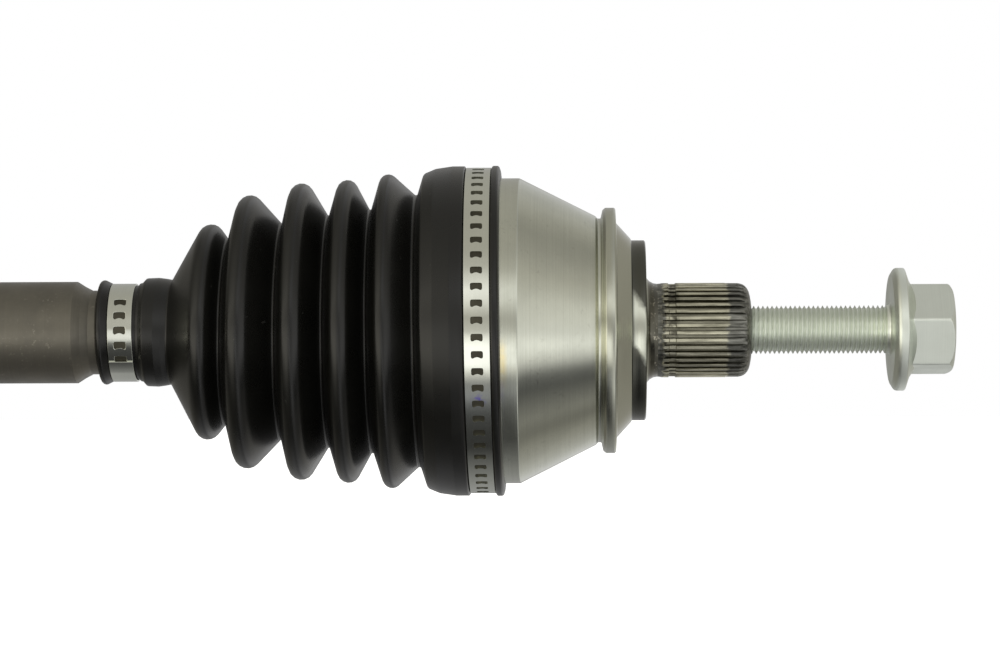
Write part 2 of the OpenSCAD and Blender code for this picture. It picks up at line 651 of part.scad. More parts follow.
module needles() translate([tripod_x, 0, roller_pitch_r]) for (i = [0:needle_count - 1])
    rotate([0, 0, i * 360 / needle_count]) translate([needle_ring_r, 0, 0])
        cylinder(r = needle_d / 2, h = needle_len, center = true);

module roller_a() color(steel) roller();
module roller_b() color(steel) rotate([120, 0, 0]) roller();
module roller_c() color(steel) rotate([240, 0, 0]) roller();
module needles_a() color(bright_steel) needles();
module needles_b() color(bright_steel) rotate([120, 0, 0]) needles();
module needles_c() color(bright_steel) rotate([240, 0, 0]) needles();

module roller_clips() color(dark_steel) around(3)
    translate([tripod_x, 0, trunnion_end - 0.5 - roller_clip_t]) difference() {
        cylinder(r = trunnion_r + 2, h = roller_clip_t);
        translate([0, 0, -lap]) cylinder(r = trunnion_r - 0.6 + ring_fit, h = roller_clip_t + 2 * lap);
        translate([0, -1.5, -lap]) cube([trunnion_r + 2 + lap, 3, roller_clip_t + 2 * lap]);
    }

// The tripod's tulip with its bolting flange
module inner_housing() color(dark_steel) difference() {
    union() {
        across(flange_front_x - lap, housing_mouth_x - flange_front_x + lap) lobes(core_r, lobe_side_r,
            lobe_r);
        turned([[flange_back_x, 0], [flange_back_x, flange_d / 2 - 1], [flange_back_x + 1, flange_d / 2],
            [flange_front_x - 1, flange_d / 2], [flange_front_x, flange_d / 2 - 1], [flange_front_x, 0]]);
    }
    across(flange_back_x - lap, housing_mouth_x - flange_back_x + 2 * lap)
        lobes(bore_r, roller_track_r, track_floor_r);
    turned([[housing_mouth_x - lead_depth, bore_r - lap], [housing_mouth_x - lead_depth, bore_r],
        [housing_mouth_x + eps, lead_r], [housing_mouth_x + eps, bore_r - lap]]);
    ring(mouth_ring_x - 0.1, mouth_ring_t + 0.2, bore_r - lap, mouth_ring_out_r + 0.1);
    rod(flange_back_x - lap, cap_depth + recess_depth + lap, cap_r);
    rod(flange_back_x - lap, recess_depth + lap, recess_d / 2);
    around(flange_holes, 180 / flange_holes) translate([0, 0, flange_pcd / 2])
        rod(flange_back_x - lap, flange_t + 2 * lap, flange_hole_d / 2);
}

// A spring ring in the mouth, with its gap in the lowest lobe's land
module inner_mouth_ring() color(dark_steel) difference() {
    ring(mouth_ring_x, mouth_ring_t, mouth_ring_in_r, mouth_ring_out_r);
    translate([mouth_ring_x - lap, -3, -mouth_ring_out_r - lap])
        cube([mouth_ring_t + 2 * lap, 6, mouth_ring_out_r - mouth_ring_in_r + 2 * lap]);
}

// A pressed cap that closes the housing behind the rollers
module inner_end_cap() color(bright_steel) {
    x = flange_back_x + recess_depth;
    r = cap_r - 0.02;
    turned([[x, r - cap_t], [x, r], [x + cap_depth, r], [x + cap_depth, 0], [x + cap_depth - cap_t, 0],
        [x + cap_depth - cap_t, r - cap_t]]);
}

// The sleeve that fits the lobed housing inside the round boot
module inner_boot_sleeve() color(rubber) difference() {
    rod(inner_large_x, sleeve_w, sleeve_r);
    across(inner_large_x - lap, sleeve_w + 2 * lap)
        lobes(core_r + sleeve_fit, lobe_side_r + sleeve_fit, lobe_r + sleeve_fit);
}

module inner_boot() color(rubber) {
    fold_x0 = -(inner_small_x - small_collar_w + 4);
    fold_x1 = -(inner_large_x + sleeve_w + 5);
    channel_r = inner_collar_r - clamp_channel;
    small_channel_r = small_collar_r - clamp_channel - 0.9;
    seat_r = sleeve_r + boot_fit;
    small_x = -inner_small_x;
    large_x = -inner_large_x;
    clamp_x = -inner_large_clamp_x;
    neck_clamp_x = -inner_small_clamp_x - small_clamp_w;
    path = concat([[fold_x0 - 3, small_collar_r, 0], [fold_x0, small_collar_r, 1.4]],
        fold_path(fold_x0, small_collar_r, fold_x1, inner_collar_r, inner_folds),
        [[fold_x1, inner_collar_r - 2, 2.6], [fold_x1 + 3, inner_collar_r - 0.4, 0]]);
    inner = parallel_path(path, boot_wall);
    mirror([1, 0, 0]) turned(concat([[small_x, boot_seat_r], [small_x, small_collar_r - 0.8],
        [small_x + 0.4, small_collar_r - 0.5], [neck_clamp_x - 0.3, small_collar_r - 0.5],
        [neck_clamp_x - 0.1, small_channel_r], [neck_clamp_x + small_clamp_w + 0.2, small_channel_r],
        [neck_clamp_x + small_clamp_w + 2.4, small_collar_r - 0.6]], rounded_path(path),
        [[clamp_x - large_clamp_w - 0.8, inner_collar_r], [clamp_x - large_clamp_w - 0.2, channel_r],
        [clamp_x + 0.2, channel_r], [clamp_x + 0.4, inner_collar_r - 0.3],
        [large_x - 0.6, inner_collar_r - 0.1], [large_x, inner_collar_r - 0.8],
        [large_x, seat_r], [-housing_mouth_x - 0.4, seat_r], [-housing_mouth_x - 0.4, sleeve_r - 0.6]],
        flip(rounded_path(inner)), [[fold_x0 - 6, boot_seat_r]]));
}

module inner_boot_large_clamp() color(bright_steel)
    clamp(inner_large_clamp_x, large_clamp_w, inner_collar_r - clamp_channel);

module inner_boot_small_clamp() color(bright_steel)
    clamp(inner_small_clamp_x, small_clamp_w, small_collar_r - clamp_channel - 0.9);

outer_joint_bell();
outer_inner_race();
outer_cage();
outer_balls();
outer_race_circlip();
outer_dished_washer();
outer_spacer_ring();
hub_bolt();
outer_boot();
outer_boot_large_clamp();
outer_boot_small_clamp();
shaft_bar();
inner_spider();
inner_spider_circlip();
roller_a();
roller_b();
roller_c();
needles_a();
needles_b();
needles_c();
roller_clips();
inner_housing();
inner_mouth_ring();
inner_end_cap();
inner_boot_sleeve();
inner_boot();
inner_boot_large_clamp();
inner_boot_small_clamp();
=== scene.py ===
from math import atan2, pi, radians, sin, tan
import bpy
import numpy as np
from mathutils import Matrix, Vector


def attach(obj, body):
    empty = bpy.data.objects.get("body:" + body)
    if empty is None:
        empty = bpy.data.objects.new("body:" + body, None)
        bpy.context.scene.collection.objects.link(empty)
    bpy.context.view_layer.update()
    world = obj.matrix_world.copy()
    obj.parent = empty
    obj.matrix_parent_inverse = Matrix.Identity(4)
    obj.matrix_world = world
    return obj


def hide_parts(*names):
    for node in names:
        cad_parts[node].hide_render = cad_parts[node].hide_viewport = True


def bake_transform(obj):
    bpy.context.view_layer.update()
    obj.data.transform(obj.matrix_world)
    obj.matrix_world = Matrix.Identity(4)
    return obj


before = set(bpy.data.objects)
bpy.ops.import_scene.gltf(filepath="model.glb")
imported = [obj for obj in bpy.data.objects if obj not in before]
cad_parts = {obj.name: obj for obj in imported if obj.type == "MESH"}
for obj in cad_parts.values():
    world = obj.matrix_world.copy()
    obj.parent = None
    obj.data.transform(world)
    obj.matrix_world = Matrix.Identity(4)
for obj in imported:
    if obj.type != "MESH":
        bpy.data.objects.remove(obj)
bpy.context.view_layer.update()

# A car's drive shaft, wheel end to the right, seen square from the side. Sizes are in mm, with x along the
# shaft towards the wheel, as in the CAD part. An angle round the shaft is 0 towards the viewer and 90 on top.
#
# piece                changed in              what it is
# bell                 bellSizes, bellLook     ball joint's bell: band, cone, bead, seal seat
# stub                 stubSizes, splineLook   splined stub with its notch and rough nose
# hubBoltShank, -Head  boltSizes               threaded shank, flange and hexagon
# wheelBoot            wheelBootSizes          bellows boot on the ball joint
# boxBootNear, -Far    boxBootSizes            bellows boot on the tripod joint, in two halves
# four clamps          bands, bandSizes        slotted steel bands round the boots' ends
# four clamp strips    bandSizes               plain strips under the bands' slots, dark partly as painted shade
#
# The other pieces are the CAD nodes, with finishes from nodeFinish at the end.

mm = 0.001


# Mesh helpers

# Puts computed arrays into a mesh; faces are turned over if the enclosed volume comes out negative.
def putMesh(name, points, quads, tris=None, sharp=34):
    tris = np.zeros((0, 3), int) if tris is None else np.asarray(tris)
    p = np.asarray(points, float)
    fans = np.concatenate([tris, quads[:, [0, 1, 2]], quads[:, [0, 2, 3]]])
    if np.einsum("ij,ij->i", p[fans[:, 0]], np.cross(p[fans[:, 1]], p[fans[:, 2]])).sum() < 0:
        quads, tris = quads[:, ::-1], tris[:, ::-1]
    mesh = bpy.data.meshes.new(name)
    mesh.vertices.add(len(p))
    mesh.vertices.foreach_set("co", (p * mm).astype(np.float32).ravel())
    corners = np.concatenate([tris.ravel(), quads.ravel()]).astype(np.int32)
    starts = np.concatenate([np.arange(len(tris)) * 3, 3 * len(tris) + np.arange(len(quads)) * 4])
    mesh.loops.add(len(corners))
    mesh.loops.foreach_set("vertex_index", corners)
    mesh.polygons.add(len(starts))
    mesh.polygons.foreach_set("loop_start", starts.astype(np.int32))
    mesh.update(calc_edges=True)
    mesh.validate()
    mesh.polygons.foreach_set("use_smooth", np.ones(len(mesh.polygons), bool))
    mesh.set_sharp_from_angle(angle=radians(sharp))
    obj = bpy.data.objects.new(name, mesh)
    bpy.context.scene.collection.objects.link(obj)
    return obj


# Corner numbers of the quads on a grid of rows x cols points.
def gridQuads(rows, cols, wrapRows=False, wrapCols=False):
    i = np.arange(rows if wrapRows else rows - 1)[:, None]
    j = np.arange(cols if wrapCols else cols - 1)[None, :]
    down, right = (i + 1) % rows, (j + 1) % cols
    return np.stack([i * cols + j, i * cols + right, down * cols + right, down * cols + j], -1).reshape(-1, 4)


# A line through (x, r, rounding) corners, each corner replaced by the arc of that radius that touches
# both sides.
def roundedProfile(corners, steps=7):
    out = []
    for k, (x, r, rounding) in enumerate(corners):
        p = np.array([x, r], float)
        if rounding == 0 or k in (0, len(corners) - 1):
            out.append(p[None])
            continue
        u, v = (np.array(corners[n][:2], float) - p for n in (k - 1, k + 1))
        u, v = u / np.linalg.norm(u), v / np.linalg.norm(v)
        half = np.arccos(np.clip(u @ v, -1, 1)) / 2
        centre = p + (u + v) / np.linalg.norm(u + v) * rounding / sin(half)
        a, b = (p + w * rounding / tan(half) - centre for w in (u, v))
        start = atan2(a[1], a[0])
        turn = (atan2(b[1], b[0]) - start + 3 * pi) % (2 * pi) - pi
        t = start + turn * np.linspace(0, 1, steps)
        out.append(centre + rounding * np.stack([np.cos(t), np.sin(t)], 1))
    return np.concatenate(out)


# The same line moved by depth along its own normals, towards the axis for a line that runs along +x.
def inset(profile, depth):
    along = np.gradient(profile, axis=0)
    along /= np.linalg.norm(along, axis=1, keepdims=True)
    return profile + depth * np.stack([along[:, 1], -along[:, 0]], 1)


# The same line with extra points, so that no piece of it is longer than step.
def resample(profile, step):
    out = []
    for a, b in zip(profile[:-1], profile[1:]):
        n = max(1, int(np.ceil(np.linalg.norm(b - a) / step)))
        out.append(a + (b - a) * np.linspace(0, 1, n, endpoint=False)[:, None])
    return np.concatenate(out + [profile[-1:]])


# Grid of points: (x, -r cos a, r sin a) for each profile point and angle. radius(x, r, a) may change r,
# lean(x) tips x with height.
def sweepRound(profile, angles, radius=None, lean=None):
    x, r = profile[:, :1] + 0 * angles, profile[:, 1:] + 0 * angles
    if radius is not None:
        r = radius(x, r, angles + 0 * x)
    y, z = -r * np.cos(angles), r * np.sin(angles)
    if lean is not None:
        x = x - lean(x) * z
    return np.stack([x, y, z], -1)


# Angles once round the axis, in one row.
def fullTurn(steps):
    return np.linspace(0, 2 * pi, steps, endpoint=False)[None, :]


# A closed section carried once round the axis.
def ringPiece(name, profile, steps, sharp=34, **shape):
    points = sweepRound(profile, fullTurn(steps), **shape)
    rows, cols = points.shape[:2]
    return putMesh(name, points.reshape(-1, 3), gridQuads(rows, cols, True, True), sharp=sharp)


# A line that starts and ends on the axis, carried round it; each end closes in one point.
def solidPiece(name, profile, steps, sharp, **shape):
    points = sweepRound(profile[1:-1], fullTurn(steps), **shape)
    rows, cols = points.shape[:2]
    count = rows * cols
    ends = np.array([[profile[0, 0], 0, 0], [profile[-1, 0], 0, 0]])
    j = np.arange(cols)
    first = np.stack([np.full(cols, count), (j + 1) % cols, j], 1)
    last = np.stack([np.full(cols, count + 1), (rows - 1) * cols + j, (rows - 1) * cols + (j + 1) % cols], 1)
    return putMesh(name, np.concatenate([points.reshape(-1, 3), ends]), gridQuads(rows, cols, False, True),
                   np.concatenate([first, last]), sharp)


# Camera and studio

cameraView = {
    "distance": 1050,   # from the shaft's axis
    "x": -20,           # place along the shaft
    "aimX": -45.3,      # what the middle of the picture shows
    "height": -0.7,
    "lens": 115.2, "sensor": 36,
    "roll": 0.23,       # degrees by which the picture's right side is raised
    "clip": (0.05, 60),     # in metres
}
studioFloor = {"reach": 6000, "height": -190, "cells": 9, "white": 0.95, "roughness": 0.9, "glow": 0.85}

# What the metal mirrors, as long lamps and dark gaps beside the shaft: (degrees above the line to the viewer,
# brightness, warmth). One sky passes into the next between the two given shares of its direction along x.
studioSkies = [
    {"from": None, "to": None,      # far left: the flanks that face the gearbox
     "sky": [(-180, 0.20, 0.14), (-144, 0.20, 0.14), (-126, 0.20, 0.14), (-106, 0.16, 0.14), (-89, 0.06, 0.1),
             (-60, 0.13, 0.1), (-46, 0.48, 0.12), (-36, 0.53, 0.14), (-24, 1.8, 0.14), (-5, 1.8, 0.14),
             (11, 0.8, 0.14), (28, 1.4, 0.14), (46, 0.83, 0.14), (80, 0.50, 0.14), (120, 0.22, 0.14),
             (180, 0.20, 0.14)]},
    {"from": -0.5, "to": -0.16,     # left: bar and small clamp
     "sky": [(-180, 0.42, 0), (-112, 0.40, 0), (-106, 0.28, 0), (-90, 0.16, 0), (-72, 0.05, 0),
             (-38, 0.05, 0), (-25, 0.15, 0), (-16, 0.9, 0.02), (-10, 1.05, 0.02), (2, 1.0, 0.02),
             (9, 0.58, 0.08), (40, 0.50, 0.1), (90, 0.46, 0.1), (130, 0.45, 0.05), (180, 0.42, 0)]},
    {"from": -0.13, "to": -0.05,    # middle: bell, large clamp, stub
     "sky": [(-180, 0.40, 0), (-144, 0.35, 0), (-126, 0.28, 0), (-106, 0.15, 0), (-89, 0.035, 0),
             (-74, 0.045, 0), (-60, 0.08, -0.04), (-52, 0.17, -0.06), (-46, 0.30, -0.06), (-36, 0.33, 0),
             (-29, 1.0, 0.06), (-24, 1.6, 0.02), (-11, 1.65, 0.02), (-5, 1.2, 0.05), (0, 0.65, 0.08),
             (9.5, 0.50, 0.1), (18, 0.91, 0.06), (28, 1.2, 0.03), (34, 0.98, 0.05), (46, 0.58, 0.1),
             (60, 0.48, 0.12), (80, 0.46, 0.12), (110, 0.45, 0.1), (144, 0.42, 0.08), (180, 0.40, 0.02)]},
    {"from": 0.045, "to": 0.095,    # right: bolt
     "sky": [(-180, 0.66, 0), (-150, 0.74, 0), (-106, 0.42, 0), (-78, 0.56, 0), (-55, 1.05, 0),
             (-36, 0.82, 0), (-15, 0.50, 0), (0, 0.45, 0), (12, 0.70, 0), (22, 1.2, 0), (41, 0.93, 0),
             (63, 0.60, 0), (86, 0.50, 0), (128, 0.62, 0), (180, 0.66, 0)]},
    {"from": 0.15, "to": 0.5,       # far right: the bell's cone
     "sky": [(-180, 0.42, 0.1), (-134, 0.45, 0.1), (-116, 0.36, 0.1), (-101, 0.20, 0.1), (-87, 0.285, 0.08),
             (-73, 0.20, 0.05), (-59, 0.10, 0), (-45, 0.16, 0), (-31, 0.85, 0.03), (-16, 1.3, 0.02),
             (-2, 0.95, 0.03), (13, 0.90, 0.05), (28, 0.83, 0.06), (42, 0.66, 0.08), (56, 0.55, 0.1),
             (70, 0.48, 0.1), (84, 0.40, 0.1), (98, 0.37, 0.1), (113, 0.44, 0.1), (130, 0.50, 0.1),
             (180, 0.42, 0.1)]},
]


# Adds a shader node; an input given as a socket is linked, anything else is set as its value.
def addNode(tree, kind, inputs=None, **settings):
    node = tree.nodes.new(kind)
    for key, value in settings.items():
        setattr(node, key, value)
    for key, value in (inputs or {}).items():
        if isinstance(value, bpy.types.NodeSocket):
            tree.links.new(value, node.inputs[key])
        else:
            node.inputs[key].default_value = value
    return node


# A colour ramp; stops are (place, grey or colour).
def colourRamp(tree, factor, stops):
    node = addNode(tree, "ShaderNodeValToRGB", {"Fac": factor})
    elements = node.color_ramp.elements
    while len(elements) < len(stops):
        elements.new(0.5)
    for element, (place, colour) in zip(elements, stops):
        element.position = place
        element.color = (colour,) * 3 + (1,) if np.isscalar(colour) else tuple(colour) + (1,)
    return node.outputs["Color"]


# A mask that goes from bottom to top while its input goes from low to high.
def fade(tree, value, low, high, top=1.0, bottom=0.0):
    return colourRamp(tree, value, [(low, bottom), (high, top)])


# One sum on sockets or numbers.
def mathNode(tree, operation, a, b=0.0, c=0.0, clamp=False):
    node = addNode(tree, "ShaderNodeMath", {0: a, 1: b, 2: c}, operation=operation, use_clamp=clamp)
    return node.outputs[0]


# Colour a where factor is 0, b where it is 1.
def mixColour(tree, factor, a, b):
    a, b = (tuple(c) + (1,) if isinstance(c, tuple) else c for c in (a, b))
    return addNode(tree, "ShaderNodeMix", {0: factor, 6: a, 7: b}, data_type="RGBA").outputs[2]


# A sky's colour: warmth adds to red and takes from blue.
def skyColour(brightness, warmth):
    return brightness * (1 + warmth * 0.3), brightness, brightness * (1 - warmth * 0.9)


# The camera, a white ground, and skies whose brightness depends on the angle of height, as long lamps beside
# the shaft give. The camera itself sees plain white behind the object.
def makeStudio(view, skies, floor):
    scene = bpy.context.scene
    camera = bpy.data.objects.new("camera", bpy.data.cameras.new("camera"))
    scene.collection.objects.link(camera)
    place = Vector((view["x"], -view["distance"], view["height"])) * mm
    aim = Vector((view["aimX"], 0, view["height"])) * mm
    turn = (aim - place).to_track_quat("-Z", "Y").to_matrix().to_4x4()
    camera.matrix_world = Matrix.Translation(place) @ turn @ Matrix.Rotation(radians(-view["roll"]), 4, "Z")
    camera.data.sensor_width = view["sensor"]
    camera.data.lens = view["lens"]
    camera.data.clip_start, camera.data.clip_end = view["clip"]
    scene.camera = camera
    scene.view_settings.view_transform = "Standard"
    scene.view_settings.look = "None"

    world = bpy.data.worlds.new("studio")
    world.use_nodes = True
    scene.world = world
    tree = world.node_tree
    tree.nodes.clear()
    ray = addNode(tree, "ShaderNodeTexCoord").outputs["Generated"]
    xyz = addNode(tree, "ShaderNodeSeparateXYZ", {0: ray}).outputs
    height = mathNode(tree, "ARCTAN2", xyz["Z"], mathNode(tree, "MULTIPLY", xyz["Y"], -1.0))
    share = mathNode(tree, "MULTIPLY_ADD", height, 1 / (2 * pi), 0.5)
    top = max(stop[1] for one in skies for stop in one["sky"])
    colours = None
    for one in skies:
        stops = [((degrees + 180) / 360, skyColour(brightness / top, warmth))
                 for degrees, brightness, warmth in one["sky"]]
        ramp = colourRamp(tree, share, stops)
        if colours is not None:
            passed = addNode(tree, "ShaderNodeMapRange", {"Value": xyz["X"], "From Min": one["from"],
                                                         "From Max": one["to"]})
            ramp = mixColour(tree, passed.outputs[0], colours, ramp)
        colours = ramp
    soft = addNode(tree, "ShaderNodeBackground", {"Color": colours, "Strength": top})
    white = addNode(tree, "ShaderNodeBackground", {"Color": (1, 1, 1, 1), "Strength": 1.0})
    seen = addNode(tree, "ShaderNodeLightPath").outputs["Is Camera Ray"]
    mixed = addNode(tree, "ShaderNodeMixShader", {0: seen, 1: soft.outputs[0], 2: white.outputs[0]})
    addNode(tree, "ShaderNodeOutputWorld", {"Surface": mixed.outputs[0]})

    cells = floor["cells"]
    along = np.linspace(-floor["reach"], floor["reach"], cells)
    x, y = np.meshgrid(along, along, indexing="ij")
    points = np.stack([x, y, np.full(x.shape, float(floor["height"]))], -1).reshape(-1, 3)
    ground = putMesh("paleFloor", points, gridQuads(cells, cells))
    finish = bpy.data.materials.new("paleFloor")
    finish.use_nodes = True
    shader = finish.node_tree.nodes["Principled BSDF"]
    shader.inputs["Base Color"].default_value = (floor["white"],) * 3 + (1,)
    shader.inputs["Roughness"].default_value = floor["roughness"]
    shader.inputs["Emission Color"].default_value = (1, 1, 1, 1)
    shader.inputs["Emission Strength"].default_value = floor["glow"]
    ground.data.materials.append(finish)
    ground.visible_glossy = False
    ground.visible_diffuse = False
    ground.visible_shadow = False
    print("studio ready")


# Finishes, all on object coordinates in metres

# Object coordinates, and a point's x, y and z.
def objectPoint(tree):
    return addNode(tree, "ShaderNodeTexCoord").outputs["Object"]


def splitPoint(tree, point):
    return addNode(tree, "ShaderNodeSeparateXYZ", {0: point}).outputs


# An empty material, its node tree, its shader and its object coordinates.
def newFinish(name):
    mat = bpy.data.materials.new(name)
    mat.use_nodes = True
    tree = mat.node_tree
    return mat, tree, tree.nodes["Principled BSDF"], objectPoint(tree)


# Noise at a point, which stretch first multiplies along each axis.
def noise(tree, vector, scale, detail=3.0, rough=0.6, stretch=None):
    if stretch is not None:
        vector = addNode(tree, "ShaderNodeMapping", {"Vector": vector, "Scale": stretch}).outputs[0]
    return addNode(tree, "ShaderNodeTexNoise", {"Vector": vector, "Scale": scale, "Detail": detail,
                                               "Roughness": rough}).outputs["Fac"]


# Chains bumps; heights are (height socket, strength, distance in mm).
def addBump(tree, shader, heights):
    normal = None
    for height, strength, distance in heights:
        inputs = {"Height": height, "Strength": strength, "Distance": distance * mm}
        if normal is not None:
            inputs["Normal"] = normal
        normal = addNode(tree, "ShaderNodeBump", inputs).outputs[0]
    tree.links.new(normal, shader.inputs["Normal"])


# Roughness that goes from first to last while a mask goes from low to high.
def addRoughness(tree, shader, mask, first, last, low=0.3, high=0.75):
    node = addNode(tree, "ShaderNodeMapRange", {"Value": mask, "From Min": low, "From Max": high,
                                               "To Min": first, "To Max": last})
    tree.links.new(node.outputs[0], shader.inputs["Roughness"])


# Noises of the metals: scale, detail, roughness, stretch
metalNoise = {
    "cloud": (60, 4, 0.65), "lines": (1.0, 2, 0.7, (2600, 14, 14)), "grain": (1500, 3),
    "fleck": (900, 2, 0.5), "patch": (110, 3),
}


# Metal with a cloudy tint, turning marks round the shaft, fine grain, and small spots in patches.
def metalFinish(name, colour, dull, roughness, turned=0.0, grain=0.0, spots=0.0, spotColour=(0.1, 0.09, 0.08),
                tint=0.35, metallic=1.0):
    mat, tree, shader, point = newFinish(name)
    cloud = noise(tree, point, *metalNoise["cloud"])
    lines = noise(tree, point, *metalNoise["lines"])
    base = mixColour(tree, fade(tree, cloud, 0.35, 0.7), colour, dull)
    base = mixColour(tree, fade(tree, lines, 0.3, 0.75, tint), base, tuple(0.72 * c for c in colour))
    if spots:
        fleck = fade(tree, noise(tree, point, *metalNoise["fleck"]), 0.6, 0.68, spots)
        patch = fade(tree, noise(tree, point, *metalNoise["patch"]), 0.5, 0.72)
        base = mixColour(tree, mathNode(tree, "MULTIPLY", fleck, patch), base, spotColour)
    tree.links.new(base, shader.inputs["Base Color"])
    shader.inputs["Metallic"].default_value = metallic
    addRoughness(tree, shader, cloud, roughness * 0.8, roughness * 1.3)
    heights = []
    if turned:
        heights.append((lines, turned, 0.02))
    if grain:
        heights.append((noise(tree, point, *metalNoise["grain"]), grain, 0.03))
    if heights:
        addBump(tree, shader, heights)
    return mat


# A mask that is 1 between two places along one coordinate, given in mm, and fades over soft mm at both.
def within(tree, value, low, high, soft):
    up = mathNode(tree, "MULTIPLY_ADD", value, 1 / (soft * mm), -(low - soft / 2) / soft, clamp=True)
    down = mathNode(tree, "MULTIPLY_ADD", value, -1 / (soft * mm), (high + soft / 2) / soft, clamp=True)
    return mathNode(tree, "MULTIPLY", up, down)


# Lays a tint over a finish: between the tint's places along x, along height where that is given, and only
# where all the masks are.
def addTint(mat, tint, x, height=None, masks=()):
    tree = mat.node_tree
    base = tree.nodes["Principled BSDF"].inputs["Base Color"]
    share = within(tree, x, *tint["x"])
    if height is not None:
        share = mathNode(tree, "MULTIPLY", share, within(tree, height, *tint["height"]))
    for mask in masks:
        share = mathNode(tree, "MULTIPLY", share, mask)
    share = mathNode(tree, "MULTIPLY", share, tint["share"])
    tree.links.new(mixColour(tree, share, base.links[0].from_socket, tint["colour"]), base)


# Tints on the bell, from its band to its neck; places are (from, to, soft edge) in mm.
bellLook = {
    "bead": {"x": (-12.6, -7.2, 0.6), "colour": (0.47, 0.475, 0.395), "share": 0.8},
    "slope": {"x": (-7.1, -2.5, 0.4), "colour": (0.40, 0.40, 0.33), "share": 0.85},
    # dark film over the seat, partly painted shade: it darkens the seat where the real one mirrors dark
    # surroundings
    "filmAndShade": {"x": (-2.4, 2.35, 0.3), "colour": (0.075, 0.075, 0.062), "share": 0.95},
    # painted highlight: the seat brightened on the side towards the viewer, over a band of height
    "brightened": {"x": (-1.9, 2.35, 0.8), "height": (-4.2, 12, 3), "colour": (0.65, 0.665, 0.57), "share": 0.88},
    "coat": {"x": (2.9, 9, 0.8), "colour": (0.085, 0.08, 0.062), "share": 0.94},
    "speck": {"x": (4.0, 9, 1.5), "colour": (0.5, 0.47, 0.38), "share": 0.6},
    # painted warm reflection: straw yellow on the band beside the boot, on the side towards the viewer, at
    # the height of the lamps' highlight
    "paintedWarmReflection": {"x": (-45, -42.4, 1.5), "height": (-17, -4, 7), "colour": (0.66, 0.56, 0.30), "share": 0.75},
    "violet": {"x": (-45, -43.0, 1.0), "height": (-22, -17, 4), "colour": (0.34, 0.28, 0.50), "share": 0.6},
    "edgeRagged": 6,    # how far clouds move the painted highlight's edges, in mm
    "highlightSlant": 1.6,   # and how they slant along x
}


# The bell's turned steel: bead and slope behind it duller, the ground seat darker under a film that is partly
# painted shade, brightened on the side towards the viewer as a painted highlight, the neck in the stub's dark
# coat, and beside the boot on that side a painted warm reflection in straw yellow with a violet tint below
# it.
def bellFinish(name, colour, dull, roughness, look):
    mat = metalFinish(name, colour, dull, roughness, turned=0.35, grain=0.03, spots=0.2)
    tree = mat.node_tree
    point = objectPoint(tree)
    xyz = splitPoint(tree, point)
    x, z = xyz["X"], xyz["Z"]
    nearSide = mathNode(tree, "LESS_THAN", xyz["Y"], 0.0)
    # the painted highlight's edge: height, slanted along x and moved by clouds
    slant = mathNode(tree, "MULTIPLY_ADD", x, look["highlightSlant"], z)
    edge = mathNode(tree, "MULTIPLY_ADD", noise(tree, point, 240, 3), look["edgeRagged"] * mm, slant)
    speck = fade(tree, noise(tree, point, 1100, 2, 0.5), 0.61, 0.68)
    patch = fade(tree, noise(tree, point, 150, 3), 0.38, 0.62, 1.0, 0.2)
    addTint(mat, look["bead"], x)
    addTint(mat, look["slope"], x)
    # dark film on the seat, partly painted shade
    addTint(mat, look["filmAndShade"], x)
    # painted highlight on the seat, on the side towards the viewer
    addTint(mat, look["brightened"], x, edge, [nearSide])
    addTint(mat, look["coat"], x)
    addTint(mat, look["speck"], x, masks=[speck])
    # painted warm reflection on the band, on the side towards the viewer
    addTint(mat, look["paintedWarmReflection"], x, z, [nearSide, patch])
    addTint(mat, look["violet"], x, z, [nearSide, patch])
    return mat


# The clamp's spot of heat tint, on the side towards the viewer
clampLook = {
    "x": (-52.6, -49.2, 2.4), "height": (-23, -20.4, 2.0), "colour": (0.34, 0.28, 0.88), "share": 0.9,
}


# Bright rolled strip with a small blue spot of heat tint.
def clampFinish(name, colour, dull, roughness, look):
    mat = metalFinish(name, colour, dull, roughness, grain=0.03, tint=0.15)
    tree = mat.node_tree
    point = objectPoint(tree)
    xyz = splitPoint(tree, point)
    nearSide = mathNode(tree, "LESS_THAN", xyz["Y"], 0.0)
    patch = fade(tree, noise(tree, point, 700, 2), 0.36, 0.60)
    addTint(mat, look, xyz["X"], xyz["Z"], [nearSide, patch])
    return mat


splineLook = {
    # teeth's sides: a dark film that is partly painted shade in the gaps between the teeth
    "filmAndShadeDark": (0.075, 0.070, 0.055), "filmAndShadeLight": (0.17, 0.163, 0.128),
    "floorDark": (0.14, 0.135, 0.103), "floorLight": (0.27, 0.26, 0.20),
    "topDull": (0.31, 0.30, 0.23), "topLight": (0.63, 0.61, 0.475),
    "coatDark": (0.10, 0.10, 0.088), "coatLight": (0.30, 0.30, 0.27), "speck": (0.5, 0.47, 0.39),
    # from, to and soft edge in mm: the floors' and tops' distances from the axis, then places along x
    "floorR": (11.5, 14.5, 0.2), "topR": (15.0, 18.0, 0.12),
    "wornX": (5.6, 26.4, 0.8), "stainX": (9.6, 12.7, 1.6), "neckX": (1.0, 7.6, 0.6),
    "edgeRagged": -5,       # how far streaks move the worn stretch's ends, in mm
    "roughness": (0.34, 0.30),      # on the coat, where worn
}
